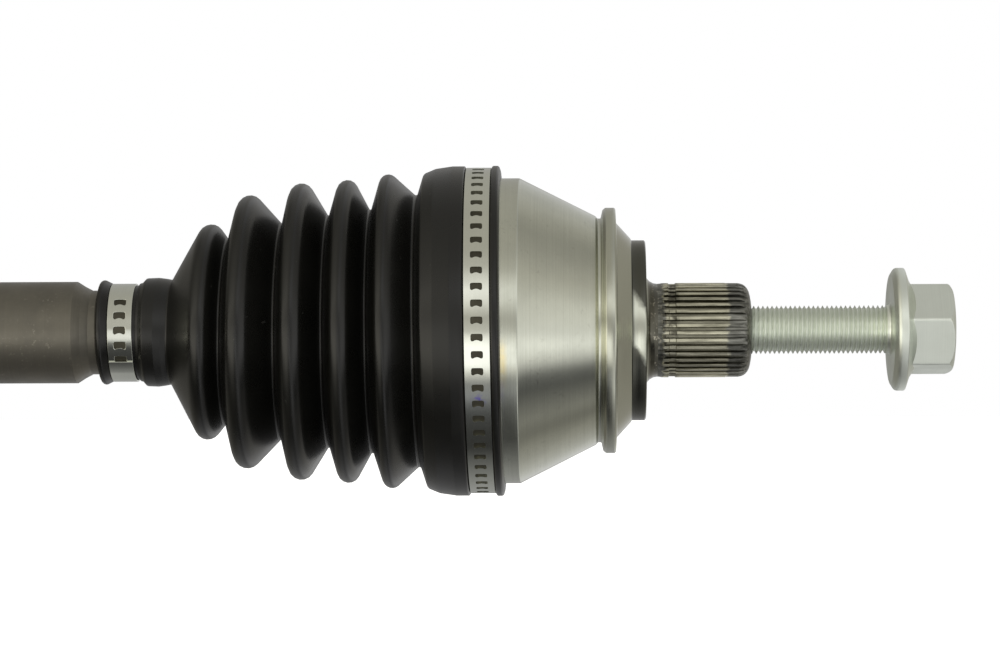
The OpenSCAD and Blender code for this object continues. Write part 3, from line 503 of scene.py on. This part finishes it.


# Splined steel: worn bright on the tooth tops, a dark film on the teeth's sides that is partly painted shade
# for the gaps between the teeth, grey floors, and a grey-black coat on the nose and round the neck. Streaks
# run along the teeth.
def splineFinish(name, look):
    mat, tree, shader, point = newFinish(name)
    xyz = splitPoint(tree, point)
    x, y, z = xyz["X"], xyz["Y"], xyz["Z"]
    around = mathNode(tree, "SQRT", mathNode(tree, "MULTIPLY_ADD", y, y, mathNode(tree, "MULTIPLY", z, z)))
    cloud = noise(tree, point, 260, 4, 0.65)
    streak = noise(tree, point, 1.0, 3, 0.65, (110, 900, 900))
    fleck = noise(tree, point, 1100, 2, 0.5)
    # dark film on the teeth's sides, partly painted shade in the gaps
    filmAndShade = mixColour(tree, fade(tree, cloud, 0.38, 0.66), look["filmAndShadeDark"], look["filmAndShadeLight"])
    floor = mixColour(tree, fade(tree, streak, 0.35, 0.65), look["floorDark"], look["floorLight"])
    brightened = mixColour(tree, fade(tree, streak, 0.36, 0.62), look["topDull"], look["topLight"])
    coat = mixColour(tree, fade(tree, streak, 0.40, 0.70), look["coatDark"], look["coatLight"])
    base = mixColour(tree, within(tree, around, *look["floorR"]), filmAndShade, floor)
    base = mixColour(tree, within(tree, around, *look["topR"]), base, brightened)
    stained = fade(tree, noise(tree, point, 230, 2), 0.46, 0.56, 0.85)
    stain = mathNode(tree, "MULTIPLY", within(tree, x, *look["stainX"]), stained)
    base = mixColour(tree, stain, base, look["filmAndShadeDark"])
    uneven = noise(tree, point, 1.0, 2, 0.6, (10, 420, 420))
    ragged = mathNode(tree, "MULTIPLY_ADD", uneven, look["edgeRagged"] * mm, x)
    share = within(tree, ragged, *look["wornX"])
    base = mixColour(tree, share, coat, base)
    neck = mathNode(tree, "MULTIPLY", within(tree, x, *look["neckX"]), fade(tree, fleck, 0.60, 0.68, 0.8))
    base = mixColour(tree, neck, base, look["speck"])
    tree.links.new(base, shader.inputs["Base Color"])
    shader.inputs["Metallic"].default_value = 1.0
    addRoughness(tree, shader, share, *look["roughness"], 0.0, 1.0)
    addBump(tree, shader, [(cloud, 0.3, 0.08), (streak, 0.5, 0.06), (fleck, 0.2, 0.04)])
    return mat


rubberLook = {
    "black": (0.0036, 0.0036, 0.0030), "grey": (0.0062, 0.0061, 0.0050), "dust": (0.08, 0.08, 0.075),
    "roughness": (0.24, 0.34), "ior": 1.46,
}


# Black moulded elastomer: satin, faintly streaked along its folds, with a few specks of dust.
def rubberFinish(name, look):
    mat, tree, shader, point = newFinish(name)
    cloud = noise(tree, point, 45, 4, 0.6)
    base = mixColour(tree, fade(tree, cloud, 0.35, 0.75), look["black"], look["grey"])
    dust = fade(tree, noise(tree, point, 520, 2, 0.4), 0.74, 0.80, 0.35)
    tree.links.new(mixColour(tree, dust, base, look["dust"]), shader.inputs["Base Color"])
    addRoughness(tree, shader, cloud, *look["roughness"])
    shader.inputs["IOR"].default_value = look["ior"]
    streak = noise(tree, point, 1.0, 3, 0.6, (260, 40, 40))
    addBump(tree, shader, [(streak, 0.12, 0.15), (noise(tree, point, 2600, 2), 0.12, 0.02)])
    return mat


makeStudio(cameraView, studioSkies, studioFloor)

# Each metal: name, colour, duller colour, roughness, then what else it has
finishes = {
    "turned": bellFinish("turnedSteel", (0.63, 0.645, 0.56), (0.57, 0.585, 0.51), 0.17, bellLook),
    "spline": splineFinish("splineSteel", splineLook),
    "zinc": metalFinish("zincPlate", (0.83, 0.87, 0.79), (0.78, 0.82, 0.75), 0.36, grain=0.05, tint=0.2),
    "clamp": clampFinish("clampSteel", (0.70, 0.715, 0.64), (0.64, 0.655, 0.59), 0.11, clampLook),
    "shaft": metalFinish("shaftSteel", (0.175, 0.163, 0.134), (0.130, 0.123, 0.104), 0.36, grain=0.12,
                         spots=0.5, spotColour=(0.34, 0.31, 0.26), metallic=0.75),
    # dark matt steel for the strips under the slots, its darkness partly painted shade inside the slots
    "strip": metalFinish("stripSteelWithPaintedShade", (0.090, 0.086, 0.066), (0.065, 0.062, 0.048), 0.5, grain=0.1),
    "hard": metalFinish("hardenedSteel", (0.42, 0.42, 0.41), (0.34, 0.34, 0.34), 0.28, turned=0.2),
    "polished": metalFinish("polishedSteel", (0.74, 0.75, 0.76), (0.70, 0.71, 0.72), 0.08, tint=0.1),
    "spring": metalFinish("springSteel", (0.10, 0.10, 0.11), (0.07, 0.07, 0.075), 0.42, grain=0.1,
                          metallic=0.7),
    "housing": metalFinish("housingSteel", (0.36, 0.35, 0.33), (0.27, 0.265, 0.25), 0.38, turned=0.15,
                           grain=0.2, spots=0.4),
    "cap": metalFinish("capSteel", (0.60, 0.60, 0.57), (0.54, 0.54, 0.52), 0.3, grain=0.05),
    "plastic": metalFinish("sleevePlastic", (0.02, 0.02, 0.02), (0.026, 0.026, 0.026), 0.5, grain=0.15,
                           metallic=0.0),
    "rubber": rubberFinish("bootRubber", rubberLook),
}
print("finishes ready")


# Wheel-side boot

wheelBootSizes = {
    # outline from the small end to the large end: x, radius, rounding
    "outside": [(-176.9, 13.9, 0), (-175.8, 17.75, 1.3), (-172.6, 16.1, 0.3), (-172.5, 15.4, 0),
                (-163.5, 15.4, 0), (-163.4, 16.1, 0.3), (-162.5, 16.3, 0.4), (-161.2, 17.75, 0.9),
                (-157.5, 17.9, 2.0), (-155.1, 17.6, 0.7), (-153.0, 17.2, 0.8), (-141.2, 38.5, 3.8),
                (-134.6, 29.9, 0.7), (-129.6, 48.8, 3.9), (-116.6, 34.9, 0.7), (-111.8, 54.5, 3.7),
                (-101.2, 37.2, 0.7), (-95.9, 55.0, 3.3), (-87.2, 38.9, 0.7), (-82.55, 53.8, 2.9),
                (-71.8, 44.0, 0.8), (-69.4, 51.6, 1.8), (-65.5, 53.2, 3.0), (-60, 54.0, 3.0),
                (-55.9, 54.0, 0.5), (-55.5, 53.1, 0.2), (-55.4, 52.65, 0), (-47.3, 52.65, 0),
                (-47.2, 53.3, 0.2), (-46.8, 54.1, 0.6), (-44.8, 54.1, 0.8), (-44.3, 52.6, 0.5),
                (-44.2, 50.12, 0)],
    "folds": (-152.0, -69.8),    # stretch with a thin wall
    "wall": 1.5,
    "seatR": 13.9, "seatFrom": 5,       # seat on the bar, which ends so far before the folds
    "mouthR": 50.12, "mouthX": -65.4,   # seat on the bell and its end
    # how far the rings lean: share of the height by which x moves, as the boot has settled in its box
    "lean": [(-177, 0.014), (-163, 0.003), (-154, -0.015), (-141, -0.0225), (-127, -0.014), (-110, -0.004),
             (-95, 0.0), (-81.5, 0.009), (-52, 0.0105)],
    "bendFrom": -64, "bendTo": -150,
    "steps": 224,
}


bootRows = {"outside": 1.6, "inside": 2.2}    # longest distance between rows of the mesh


# Closed outline of a boot's wall: the outside, then back along the seat on the large end and the folds' inner
# side to a point on the seat on the bar.
def bootSection(sizes):
    outside = resample(roundedProfile(sizes["outside"]), bootRows["outside"])
    low, high = sizes["folds"]
    folds = resample(roundedProfile(sizes["outside"], 5), bootRows["inside"])
    folds = folds[(folds[:, 0] > low) & (folds[:, 0] < high)]
    inner = inset(folds, sizes["wall"])[::-1]
    mouth = sizes["mouthX"]
    seat = np.array([(mouth, sizes["mouthR"]), (mouth, inner[0, 1] + 0.4)])
    return np.concatenate([outside, seat, inner, [(low - sizes["seatFrom"], sizes["seatR"])]])


# The table's share at x, along straight lines between its entries.
def leanOf(table):
    xs, shares = np.array(table).T
    return lambda x: np.interp(x, xs, shares)


# The boot sits on the bell at its large end and on the bar at its small end; its rings lean as the lean table
# gives.
def makeWheelBoot(sizes):
    boot = ringPiece("wheelBoot", bootSection(sizes), sizes["steps"], 40, lean=leanOf(sizes["lean"]))
    boot.data.materials.append(finishes["rubber"])
    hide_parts("outer_boot")
    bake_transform(boot)
    print("wheel boot ready")


# Gearbox-side boot, in two halves that meet in the bottom of its middle valley

boxBootSizes = {
    # outline from the small end to the large end: distance from the origin towards the gearbox, radius,
    # rounding
    "outside": [(327.97, 13.9, 0), (328.3, 17.1, 0.9), (331.9, 17.1, 0.4), (332.0, 15.4, 0), (341.2, 15.4, 0),
                (341.4, 16.6, 0.3), (343.2, 17.0, 0.8), (347.8, 17.6, 1.4), (355.5, 36.2, 3.4),
                (361.75, 27.5, 1.0), (367.05, 43.4, 3.4), (373.3, 31.1, 1.0), (379.1, 49.4, 3.4),
                (385.85, 34.4, 1.0), (389.7, 48.8, 3.0), (394.3, 38.6, 1.0), (396.0, 45.6, 2.4),
                (399.0, 47.2, 2), (404.3, 47.6, 0.3), (404.9, 46.35, 0), (413.2, 46.35, 0),
                (413.4, 47.4, 0.2), (415.4, 47.5, 0.6), (415.95, 46.8, 0.3), (415.97, 44.35, 0)],
    "folds": (348.5, 397.5),    # stretch with a thin wall
    "wall": 1.5,
    "seatR": 13.9, "seatFrom": 5,       # seat on the bar, which ends so far before the folds
    "mouthR": 44.35, "mouthX": 400.6,   # seat on the sleeve and its end
    "splitX": 373.3,
    "bend": (345, 373),     # stretches of the near and far halves, not used
    "slide": (374, 400),
    "steps": 160,
}


# Each half keeps the part of the closed outline on its own side of the split and closes it there.
def makeBoxBoot(sizes):
    section = bootSection(sizes)
    split = sizes["splitX"]
    halves = [("boxBootNear", section[:, 0] <= split, ("shaft", "roller_a"), sizes["bend"]),
              ("boxBootFar", section[:, 0] >= split, ("roller_a", "inner_housing"), sizes["slide"])]
    for name, kept, bodies, stretch in halves:
        start = np.flatnonzero(kept & ~np.roll(kept, 1))[0]
        rolled, keep = np.roll(section, -start, axis=0), np.roll(kept, -start)
        outline = rolled[keep]
        # the cut passes through both walls at the split
        pairs = [(outline[-1], rolled[keep.sum()]), (outline[0], rolled[-1])]
        ends = [a + (b - a) * (split - a[0]) / (b[0] - a[0]) for a, b in pairs]
        outline = np.concatenate([outline, ends]) * [-1, 1]
        half = ringPiece(name, outline, sizes["steps"], 40)
        half.data.materials.append(finishes["rubber"])
        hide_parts("inner_boot")
        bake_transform(half)
    print("gearbox-side boot ready")


# Steel bands

bandSizes = {
    "slotRound": 2.35,      # slot's size round the band
    "slotAcross": 3.8,      # and across it
    "squareness": 7,        # of the slot's corners
    "rim": 0.45,            # steel round the slot that is meshed apart
    "tongue": 0.45,         # how far a tongue stands into each slot, from the middle of its lower edge
    "tongueHalf": 0.3,      # half its width, as a share of slotAcross
    "bevel": 0.19,
    "earHalf": 3.6, "earHeight": 3.5, "earFoot": 3.5,
    "plainStep": 4,         # degrees between the rows of a plain stretch
    "strip": 0.3,           # thickness of the plain strip under the slots
    "stripInset": 0.9, "stripGap": 0.02, "stripSteps": 144,
}
# A band's edge along x, its width, the radius of its seat, its thickness and lean; how many slots it has, the
# first one's angle and the step to the next; plain stretches as (angle from, angle to, lift from, lift to).
bands = {
    "wheelLargeClamp": {
        "x": -55.35, "width": 8.0, "radius": 52.65, "thick": 0.85, "lean": 0.0105,
        "slots": 44, "first": -77.28, "step": 5.77, "plain": [(173.715, 176, 0, 0), (184, 276, 0, -0.3)],
        "node": "outer_boot_large_clamp", "body": "outer_joint"},
    "wheelSmallClamp": {
        "x": -172.45, "width": 8.0, "radius": 15.4, "thick": 0.6, "lean": 0.011,
        "slots": 5, "first": -33.5, "step": 17.8, "plain": [(46.6, 168, 0, 0), (192, 324, 0.0, 0.45)],
        "node": "outer_boot_small_clamp", "body": "shaft"},
    "boxLargeClamp": {
        "x": -413.0, "width": 7.9, "radius": 46.35, "thick": 0.85, "lean": 0,
        "slots": 38, "first": -89.7, "step": 6.55, "plain": [(155.75, 175, 0, 0), (185, 267, 0, -0.3)],
        "node": "inner_boot_large_clamp", "body": "inner_housing"},
    "boxSmallClamp": {
        "x": -340.6, "width": 8.0, "radius": 15.4, "thick": 0.6, "lean": 0,
        "slots": 5, "first": -33.5, "step": 17.8, "plain": [(46.6, 168, 0, 0), (192, 324, 0.0, 0.45)],
        "node": "inner_boot_small_clamp", "body": "shaft"},
}


# One slot and the steel round it, flat: three loops of 20 points, from the slot's edge, a rounded rectangle
# |s|^n + |t|^n = 1 with a tongue in its lower edge, to the cell's own rectangle.
def slotCell(width, pitch, sizes):
    corners = np.array([(1, -1), (1, 1), (-1, 1), (-1, -1)], float)
    border = np.concatenate([a + (b - a) * np.linspace(0, 1, n, endpoint=False)[:, None]
                             for a, b, n in zip(corners, np.roll(corners, -1, axis=0), (6, 4, 6, 4))])
    power = sizes["squareness"]
    norm = (np.abs(border) ** power).sum(1, keepdims=True) ** (1 / power)
    slot = border / norm * [sizes["slotRound"] / 2, sizes["slotAcross"] / 2]
    low = slot[:, 0] < -sizes["slotRound"] * 0.35
    across = slot[:, 1] / (sizes["tongueHalf"] * sizes["slotAcross"])
    slot[:, 0] += np.where(low, sizes["tongue"] * np.clip(1 - across ** 2, 0, 1), 0)
    rim = slot * (1 + sizes["rim"] / np.abs(slot).max(1, keepdims=True))
    points = np.stack([slot, rim, border * [pitch / 2, width / 2]])
    return points.reshape(-1, 2), gridQuads(3, 20, False, True)


# The ear's outline and the plain stretches, as (angles, lifts).
def plainStrips(band, sizes):
    half, high, foot = sizes["earHalf"], sizes["earHeight"], sizes["earFoot"]
    ear = roundedProfile([(-half - foot, 0, 0), (-half, 0, 0.7), (-half + 0.7, high, 0.8),
                          (half - 0.7, high, 0.8), (half, 0, 0.7), (half + foot, 0, 0)], 5)
    strips = []
    for a, b, liftA, liftB in band["plain"]:
        rows = max(3, int(abs(b - a) / sizes["plainStep"]) + 2)
        strips.append((np.radians(np.linspace(a, b, rows)), np.linspace(liftA, liftB, rows)))
    return strips + [(pi + ear[:, 0] / band["radius"], ear[:, 1])]


# A band of slot cells and plain strips wrapped round the shaft: (s across the band, angle) becomes a point at
# radius + lift. Points that meet are joined, and faces are turned to look away from the axis.
def makeBand(name, band, sizes):
    x, width, radius, thick, lean = (band[key] for key in ("x", "width", "radius", "thick", "lean"))
    slots, step = band["slots"], radians(band["step"])
    cell, quads = slotCell(width, step * radius, sizes)
    centres = radians(band["first"]) + step * np.arange(slots)
    parts = [(centres[:, None] + cell[None, :, 0] / radius, np.tile(cell[:, 1], (slots, 1)),
              np.zeros((slots, len(cell))))]
    faces = [(quads[None] + len(cell) * np.arange(slots)[:, None, None]).reshape(-1, 4)]
    count = slots * len(cell)
    across = np.linspace(-width / 2, width / 2, 7)[None, :]
    for angles, lifts in plainStrips(band, sizes):
        angles, lifts = angles[:, None] + 0 * across, lifts[:, None] + 0 * across
        parts.append((angles, across + 0 * angles, lifts))
        faces.append(gridQuads(*angles.shape) + count)
        count += angles.size
    angle, s, lift = (np.concatenate([p[k].ravel() for p in parts]) for k in range(3))
    r = radius + thick + lift
    z = r * np.sin(angle)
    points = np.stack([x + width / 2 + s - lean * z, -r * np.cos(angle), z], 1)
    faces = np.concatenate(faces)
    kept, where = np.unique(np.round(points, 4), axis=0, return_inverse=True)
    faces = where.ravel()[faces]
    first = faces[:, [0, 1, 2]]
    out = np.cross(kept[first[:, 1]] - kept[first[:, 0]], kept[first[:, 2]] - kept[first[:, 0]])
    mid = kept[faces].mean(1) * [0, 1, 1]
    inwards = (out * mid).sum(1) < 0
    faces[inwards] = faces[inwards][:, ::-1]
    mesh = bpy.data.meshes.new(name)
    mesh.from_pydata((kept * mm).tolist(), [], faces.tolist())
    mesh.validate()
    mesh.polygons.foreach_set("use_smooth", np.ones(len(mesh.polygons), bool))
    mesh.set_sharp_from_angle(angle=radians(40))
    clamp = bpy.data.objects.new(name, mesh)
    bpy.context.scene.collection.objects.link(clamp)
    solid = clamp.modifiers.new("thick", "SOLIDIFY")
    solid.thickness, solid.offset, solid.use_even_offset = thick * mm, -1, False
    edge = clamp.modifiers.new("edge", "BEVEL")
    edge.width, edge.segments, edge.harden_normals = sizes["bevel"] * mm, 2, True
    edge.limit_method, edge.angle_limit = "ANGLE", radians(50)
    clamp.data.materials.append(finishes["clamp"])

    # the plain strip under the slots, finished dark partly as painted shade in the slots
    low, high = x + sizes["stripInset"], x + width - sizes["stripInset"]
    near = radius + sizes["stripGap"]
    far = near + sizes["strip"]
    outline = np.array([(low, near), (low, far), (high, far), (high, near)])
    strip = ringPiece(name + "Strip", outline, sizes["stripSteps"], lean=lambda at: 0 * at + lean)
    strip.data.materials.append(finishes["strip"])
    for piece in (clamp, strip):
        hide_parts(band["node"])
        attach(piece, band["body"])


# Hub bolt

boltSizes = {
    "tip": [(30.8, 0), (30.8, 6.5), (31.7, 7.4)],       # x, radius
    "faceX": 82.35, "threadR": 7.9, "pitch": 1.5, "depth": 0.95,
    "threadFrom": 32.0, "threadTo": 81.2, "runout": 0.9,
    "grooveMiddle": 1.06, "grooveSides": 2.24,      # groove over one pitch, before it is rounded
    "hexFlat": 13.5, "hexTurn": 12, "hexEndX": 102.6, "endStep": 0.02, "cornerSoftness": 80,
    # rows that the hexagon widens: from, to, how many; their radius, and a last one's on the end face
    "hexRows": [(94.5, 100.4, 5), (100.65, 102.6, 14)], "hexCoreR": 10, "hexEndR": 11.6,
    "shankSteps": 96, "threadRows": 380, "headSteps": 540, "coneStep": 0.16,
    # shank under the flange: x before the face, extra radius
    "flare": [(-0.9, 0.0), (-0.5, 0.12), (-0.2, 0.4), (0.0, 0.8), (0.2, 1.4), (1.0, -7.9)],
    # flange and the cone that the hexagon stands on: x, radius, rounding
    "flange": [(82.35, 0, 0), (82.35, 17.9, 1.0), (83.7, 20.1, 1.6), (86.75, 20.1, 0.5), (88.15, 16.1, 0.5),
               (90.4, 12.6, 0), (94, 10, 0)],
    # how far the hexagon's chamfered end lets a corner stand out: x before the end, radius
    "chamfer": [(-30, 17), (-2.6, 16.0), (-1.9, 15.35), (-1.1, 14.6), (-0.5, 13.8), (-0.15, 13.1), (0, 12.2),
                (0.02, 0)],
}


# Radius of the shank: the crest radius less a V groove with rounded bottom that advances one pitch per turn.
def threadedRadius(sizes):
    def radius(x, r, a):
        turn = np.mod(x / sizes["pitch"] - a / (2 * pi), 1)
        groove = np.clip(sizes["grooveMiddle"] - sizes["grooveSides"] * np.abs(turn - 0.5), 0, 1)
        groove = groove * (1.5 - 0.5 * groove ** 2)
        start = np.clip((x - sizes["threadFrom"]) / sizes["runout"], 0, 1)
        stop = np.clip((sizes["threadTo"] - x) / sizes["runout"], 0, 1)
        return r - sizes["depth"] * groove * start * stop
    return radius


# Radius of the head: the flange's and cone's own outline, or the hexagon where that is larger. The hexagon is
# a softened minimum of its six flats, cut by its chamfer.
def headRadius(sizes):
    middles = radians(sizes["hexTurn"]) + pi / 6 + np.arange(6) * pi / 3
    xs, rs = np.array(sizes["chamfer"]).T
    rimX = sizes["flange"][3][0]

    def radius(x, r, a):
        flats = np.clip(np.cos(a[..., None] - middles), 1e-3, 1) / sizes["hexFlat"]
        hexagon = (flats ** sizes["cornerSoftness"]).sum(-1) ** (-1 / sizes["cornerSoftness"])
        cut = np.interp(x - sizes["hexEndX"], xs, rs)
        return np.where(x > rimX, np.maximum(r, np.minimum(hexagon, cut)), r)
    return radius


# The shank starts at its tip and ends inside the flange. The head's outline is the flange, its cone in fine
# steps, and rows for the hexagon: few along the flats, many over the chamfer, and two for the end face.
def makeBolt(sizes):
    r, face, end = sizes["threadR"], sizes["faceX"], sizes["hexEndX"] + sizes["endStep"]
    body = np.linspace(sizes["threadFrom"], sizes["threadTo"], sizes["threadRows"])
    profile = np.concatenate([sizes["tip"], np.stack([body, np.full(len(body), r)], 1),
                              [(face + x, r + more) for x, more in sizes["flare"]]])
    shank = solidPiece("hubBoltShank", profile, sizes["shankSteps"], 60, radius=threadedRadius(sizes))

    rimX = sizes["flange"][3][0]
    flange = roundedProfile(sizes["flange"])
    cone = resample(flange[flange[:, 0] > rimX], sizes["coneStep"])
    rows = np.concatenate([np.linspace(*row) for row in sizes["hexRows"]])
    hexagon = np.stack([rows, np.full(len(rows), float(sizes["hexCoreR"]))], 1)
    endFace = [(end, sizes["hexEndR"]), (end, 0)]
    outline = np.concatenate([flange[flange[:, 0] <= rimX], cone, hexagon, endFace])
    head = solidPiece("hubBoltHead", outline, sizes["headSteps"], 26, radius=headRadius(sizes))
    for piece in (shank, head):
        piece.data.materials.append(finishes["zinc"])
        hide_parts("hub_bolt")
        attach(piece, "hub_bolt")
    print("hub bolt ready")


# Bell and stub, one forging in the real part

bellSizes = {
    # outline from the band to the stub's neck: x, radius, rounding
    "outside": [(-65, 40.0, 0), (-65, 48.6, 0.4), (-63.6, 50, 0.6), (-38.7, 50, 1.1), (-13.9, 37.5, 0.4),
                (-13.2, 36.7, 0.3), (-12.2, 36.7, 0.3), (-11.6, 39.4, 0.5), (-10.7, 40.2, 0.7),
                (-7.4, 40.2, 0.7), (-7.15, 35.2, 0.5), (-2.5, 30.1, 0.2), (-2.2, 29.5, 0.1),
                (1.9, 29.5, 0.15), (2.3, 29.1, 0.1), (2.3, 18.6, 0.3), (2.7, 17.2, 0.6), (3.7, 16.1, 0.8),
                (5.0, 15.4, 0.8), (6.2, 15.2, 0)],
    "boreR": 7.95, "boreFloorX": -12.4,
    # hollow for cage and race round the joint's centre, cone in which the shaft swings, and ball tracks
    "centreX": -45, "hollowR": 35.7, "mouth": (-65, 40.0), "throat": (-58.6, 33.6), "hollowEndX": -15.8,
    "floorR": 12.0, "sphereRows": 32,
    "balls": 6, "trackPathR": 30.5, "trackR": 12.6, "trackReachX": 25,
    "outsideStep": 2.5, "coneStep": 1.3, "steps": 360,
}
stubSizes = {
    "r": 15.45, "root": 14.35, "teeth": 40, "firstTooth": 5.6,
    "startX": 7.7, "startLength": 1.5, "startBend": 0.6,    # where the grooves begin, and how they deepen
    # half widths of a tooth at its top and at its root, as shares of the pitch
    "topHalf": 0.19, "rootHalf": 0.30,
    # crest line: x, radius
    "crest": [(5.0, 15.2), (6.2, 15.2), (7.2, 15.3), (7.7, 15.42), (9.7, 15.45), (9.95, 15.15), (11.9, 15.15),
              (12.15, 15.45), (28.3, 15.45), (28.5, 15.36), (32.6, 15.34), (33.5, 15.16), (34.3, 14.85),
              (35.0, 14.35), (35.6, 13.65), (36.1, 12.7), (36.4, 11.6), (36.7, 10.0), (36.8, 9.2)],
    "rows": [(7.7, 9.6, 8), (13, 28, 9), (29, 36.8, 24)],       # more places along x: from, to, how many
    # bore for the bolt, from its mouth inwards: x, radius
    "bore": [(36.3, 8.6), (35.2, 8.05), (34.8, 7.95), (5.0, 7.95)],
}


# How far the balls' tracks reach from the axis, at x from the joint's centre and angle a: the outer root of a
# torus tube's section, for the tube that lies round the nearest ball.
def trackReach(sizes, x, a):
    turn = 2 * pi / sizes["balls"]
    off = np.mod(a - pi / 2 + turn / 2, turn) - turn / 2
    path = sizes["trackPathR"]
    k = x ** 2 + path ** 2 - sizes["trackR"] ** 2
    b, c = 2 * k - (2 * path * np.cos(off)) ** 2, k ** 2 - (2 * path * x) ** 2
    root = b ** 2 - 4 * c
    reach = np.sqrt(np.maximum((np.sqrt(np.maximum(root, 0)) - b) / 2, 0))
    return np.where((root > 0) & (x < sizes["trackReachX"]), reach, 0)


# The hollow's rows come first in the outline, and the tracks widen only those.
def makeBell(sizes):
    outside = resample(roundedProfile(sizes["outside"]), sizes["outsideStep"])
    centre, end = sizes["centreX"], sizes["hollowEndX"]
    xs = np.linspace(sizes["throat"][0], end, sizes["sphereRows"])
    sphere = np.stack([xs, np.sqrt(sizes["hollowR"] ** 2 - (xs - centre) ** 2)], 1)
    cone = resample(np.array([sizes["mouth"], sizes["throat"]]), sizes["coneStep"])
    hollow = np.concatenate([cone[1:], sphere, [(end, sizes["floorR"]), (end, 0)]])[::-1]
    rows = len(hollow) - 1

    def radius(x, r, a):
        inside = (np.arange(len(x)) < rows)[:, None]
        return np.where(inside, np.maximum(r, trackReach(sizes, x - centre, a)), r)

    boreR, floorX = sizes["boreR"], sizes["boreFloorX"]
    bore = [(sizes["outside"][-1][0], boreR), (floorX, boreR), (floorX, 0)]
    outline = np.concatenate([hollow, outside, bore])
    bell = solidPiece("bell", outline, sizes["steps"], 26, radius=radius)
    bell.data.materials.append(finishes["turned"])
    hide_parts("outer_joint_bell")
    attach(bell, "outer_joint")
    print("bell ready")


# Splined stub: its radius at an angle is the root's plus the tooth's height there, or the crest line's where
# that is lower, as at the rounded nose and in the shallow ring near the neck.
def makeStub(sizes):
    top, root, teeth = sizes["topHalf"], sizes["rootHalf"], sizes["teeth"]
    # places from a tooth's middle outwards, as shares of the pitch
    side = np.array([0.06, 0.7 * top, top, top + 0.02, (top + root) / 2, root - 0.01, root + 0.015, 0.42])
    place = np.concatenate([-side[::-1], side])
    tooth = np.interp(np.abs(place), [0, top, top + 0.02, root - 0.01, root + 0.015], [1, 1, 0.95, 0.06, 0])
    angles = ((np.arange(teeth)[:, None] + place) * 2 * pi / teeth).ravel() + radians(sizes["firstTooth"])
    high = np.tile(tooth, teeth)[None, :]
    crest, bore = np.array(sizes["crest"]), np.array(sizes["bore"])
    xs = np.unique(np.concatenate([crest[:, 0]] + [np.linspace(*row) for row in sizes["rows"]]))
    line = np.interp(xs, crest[:, 0], crest[:, 1])[:, None]
    deep = np.clip((xs - sizes["startX"]) / sizes["startLength"], 0, 1)[:, None] ** sizes["startBend"]
    outer = np.minimum(line, sizes["root"] + (sizes["r"] - sizes["root"]) * np.maximum(high, 1 - deep))
    r = np.concatenate([outer, bore[:, 1:] + 0 * high])
    x = np.concatenate([xs, bore[:, 0]])[:, None] + 0 * high
    points = np.stack([x, -r * np.cos(angles), r * np.sin(angles)], -1)
    stub = putMesh("stub", points.reshape(-1, 3), gridQuads(len(x), angles.size, True, True), sharp=24)
    stub.data.materials.append(finishes["spline"])
    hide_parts("outer_joint_bell")
    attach(stub, "outer_joint")
    print("stub ready")


# The CAD nodes' finishes

nodeFinish = {
    "outer_joint_bell": "turned", "outer_inner_race": "hard", "outer_cage": "hard", "outer_balls": "polished",
    "outer_race_circlip": "spring", "outer_dished_washer": "spring", "outer_spacer_ring": "spring",
    "hub_bolt": "zinc", "outer_boot": "rubber", "outer_boot_large_clamp": "clamp",
    "outer_boot_small_clamp": "clamp", "shaft_bar": "shaft", "inner_spider": "hard",
    "inner_spider_circlip": "spring", "roller_a": "polished", "roller_b": "polished", "roller_c": "polished",
    "needles_a": "polished", "needles_b": "polished", "needles_c": "polished", "roller_clips": "spring",
    "inner_housing": "housing", "inner_mouth_ring": "spring", "inner_end_cap": "cap",
    "inner_boot_sleeve": "plastic", "inner_boot": "rubber", "inner_boot_large_clamp": "clamp",
    "inner_boot_small_clamp": "clamp",
}
for name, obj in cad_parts.items():
    obj.data.materials.clear()
    obj.data.materials.append(finishes[nodeFinish[name]])

makeWheelBoot(wheelBootSizes)
makeBoxBoot(boxBootSizes)
for name, band in bands.items():
    makeBand(name, band, bandSizes)
print("steel bands ready")
makeBolt(boltSizes)
makeBell(bellSizes)
makeStub(stubSizes)
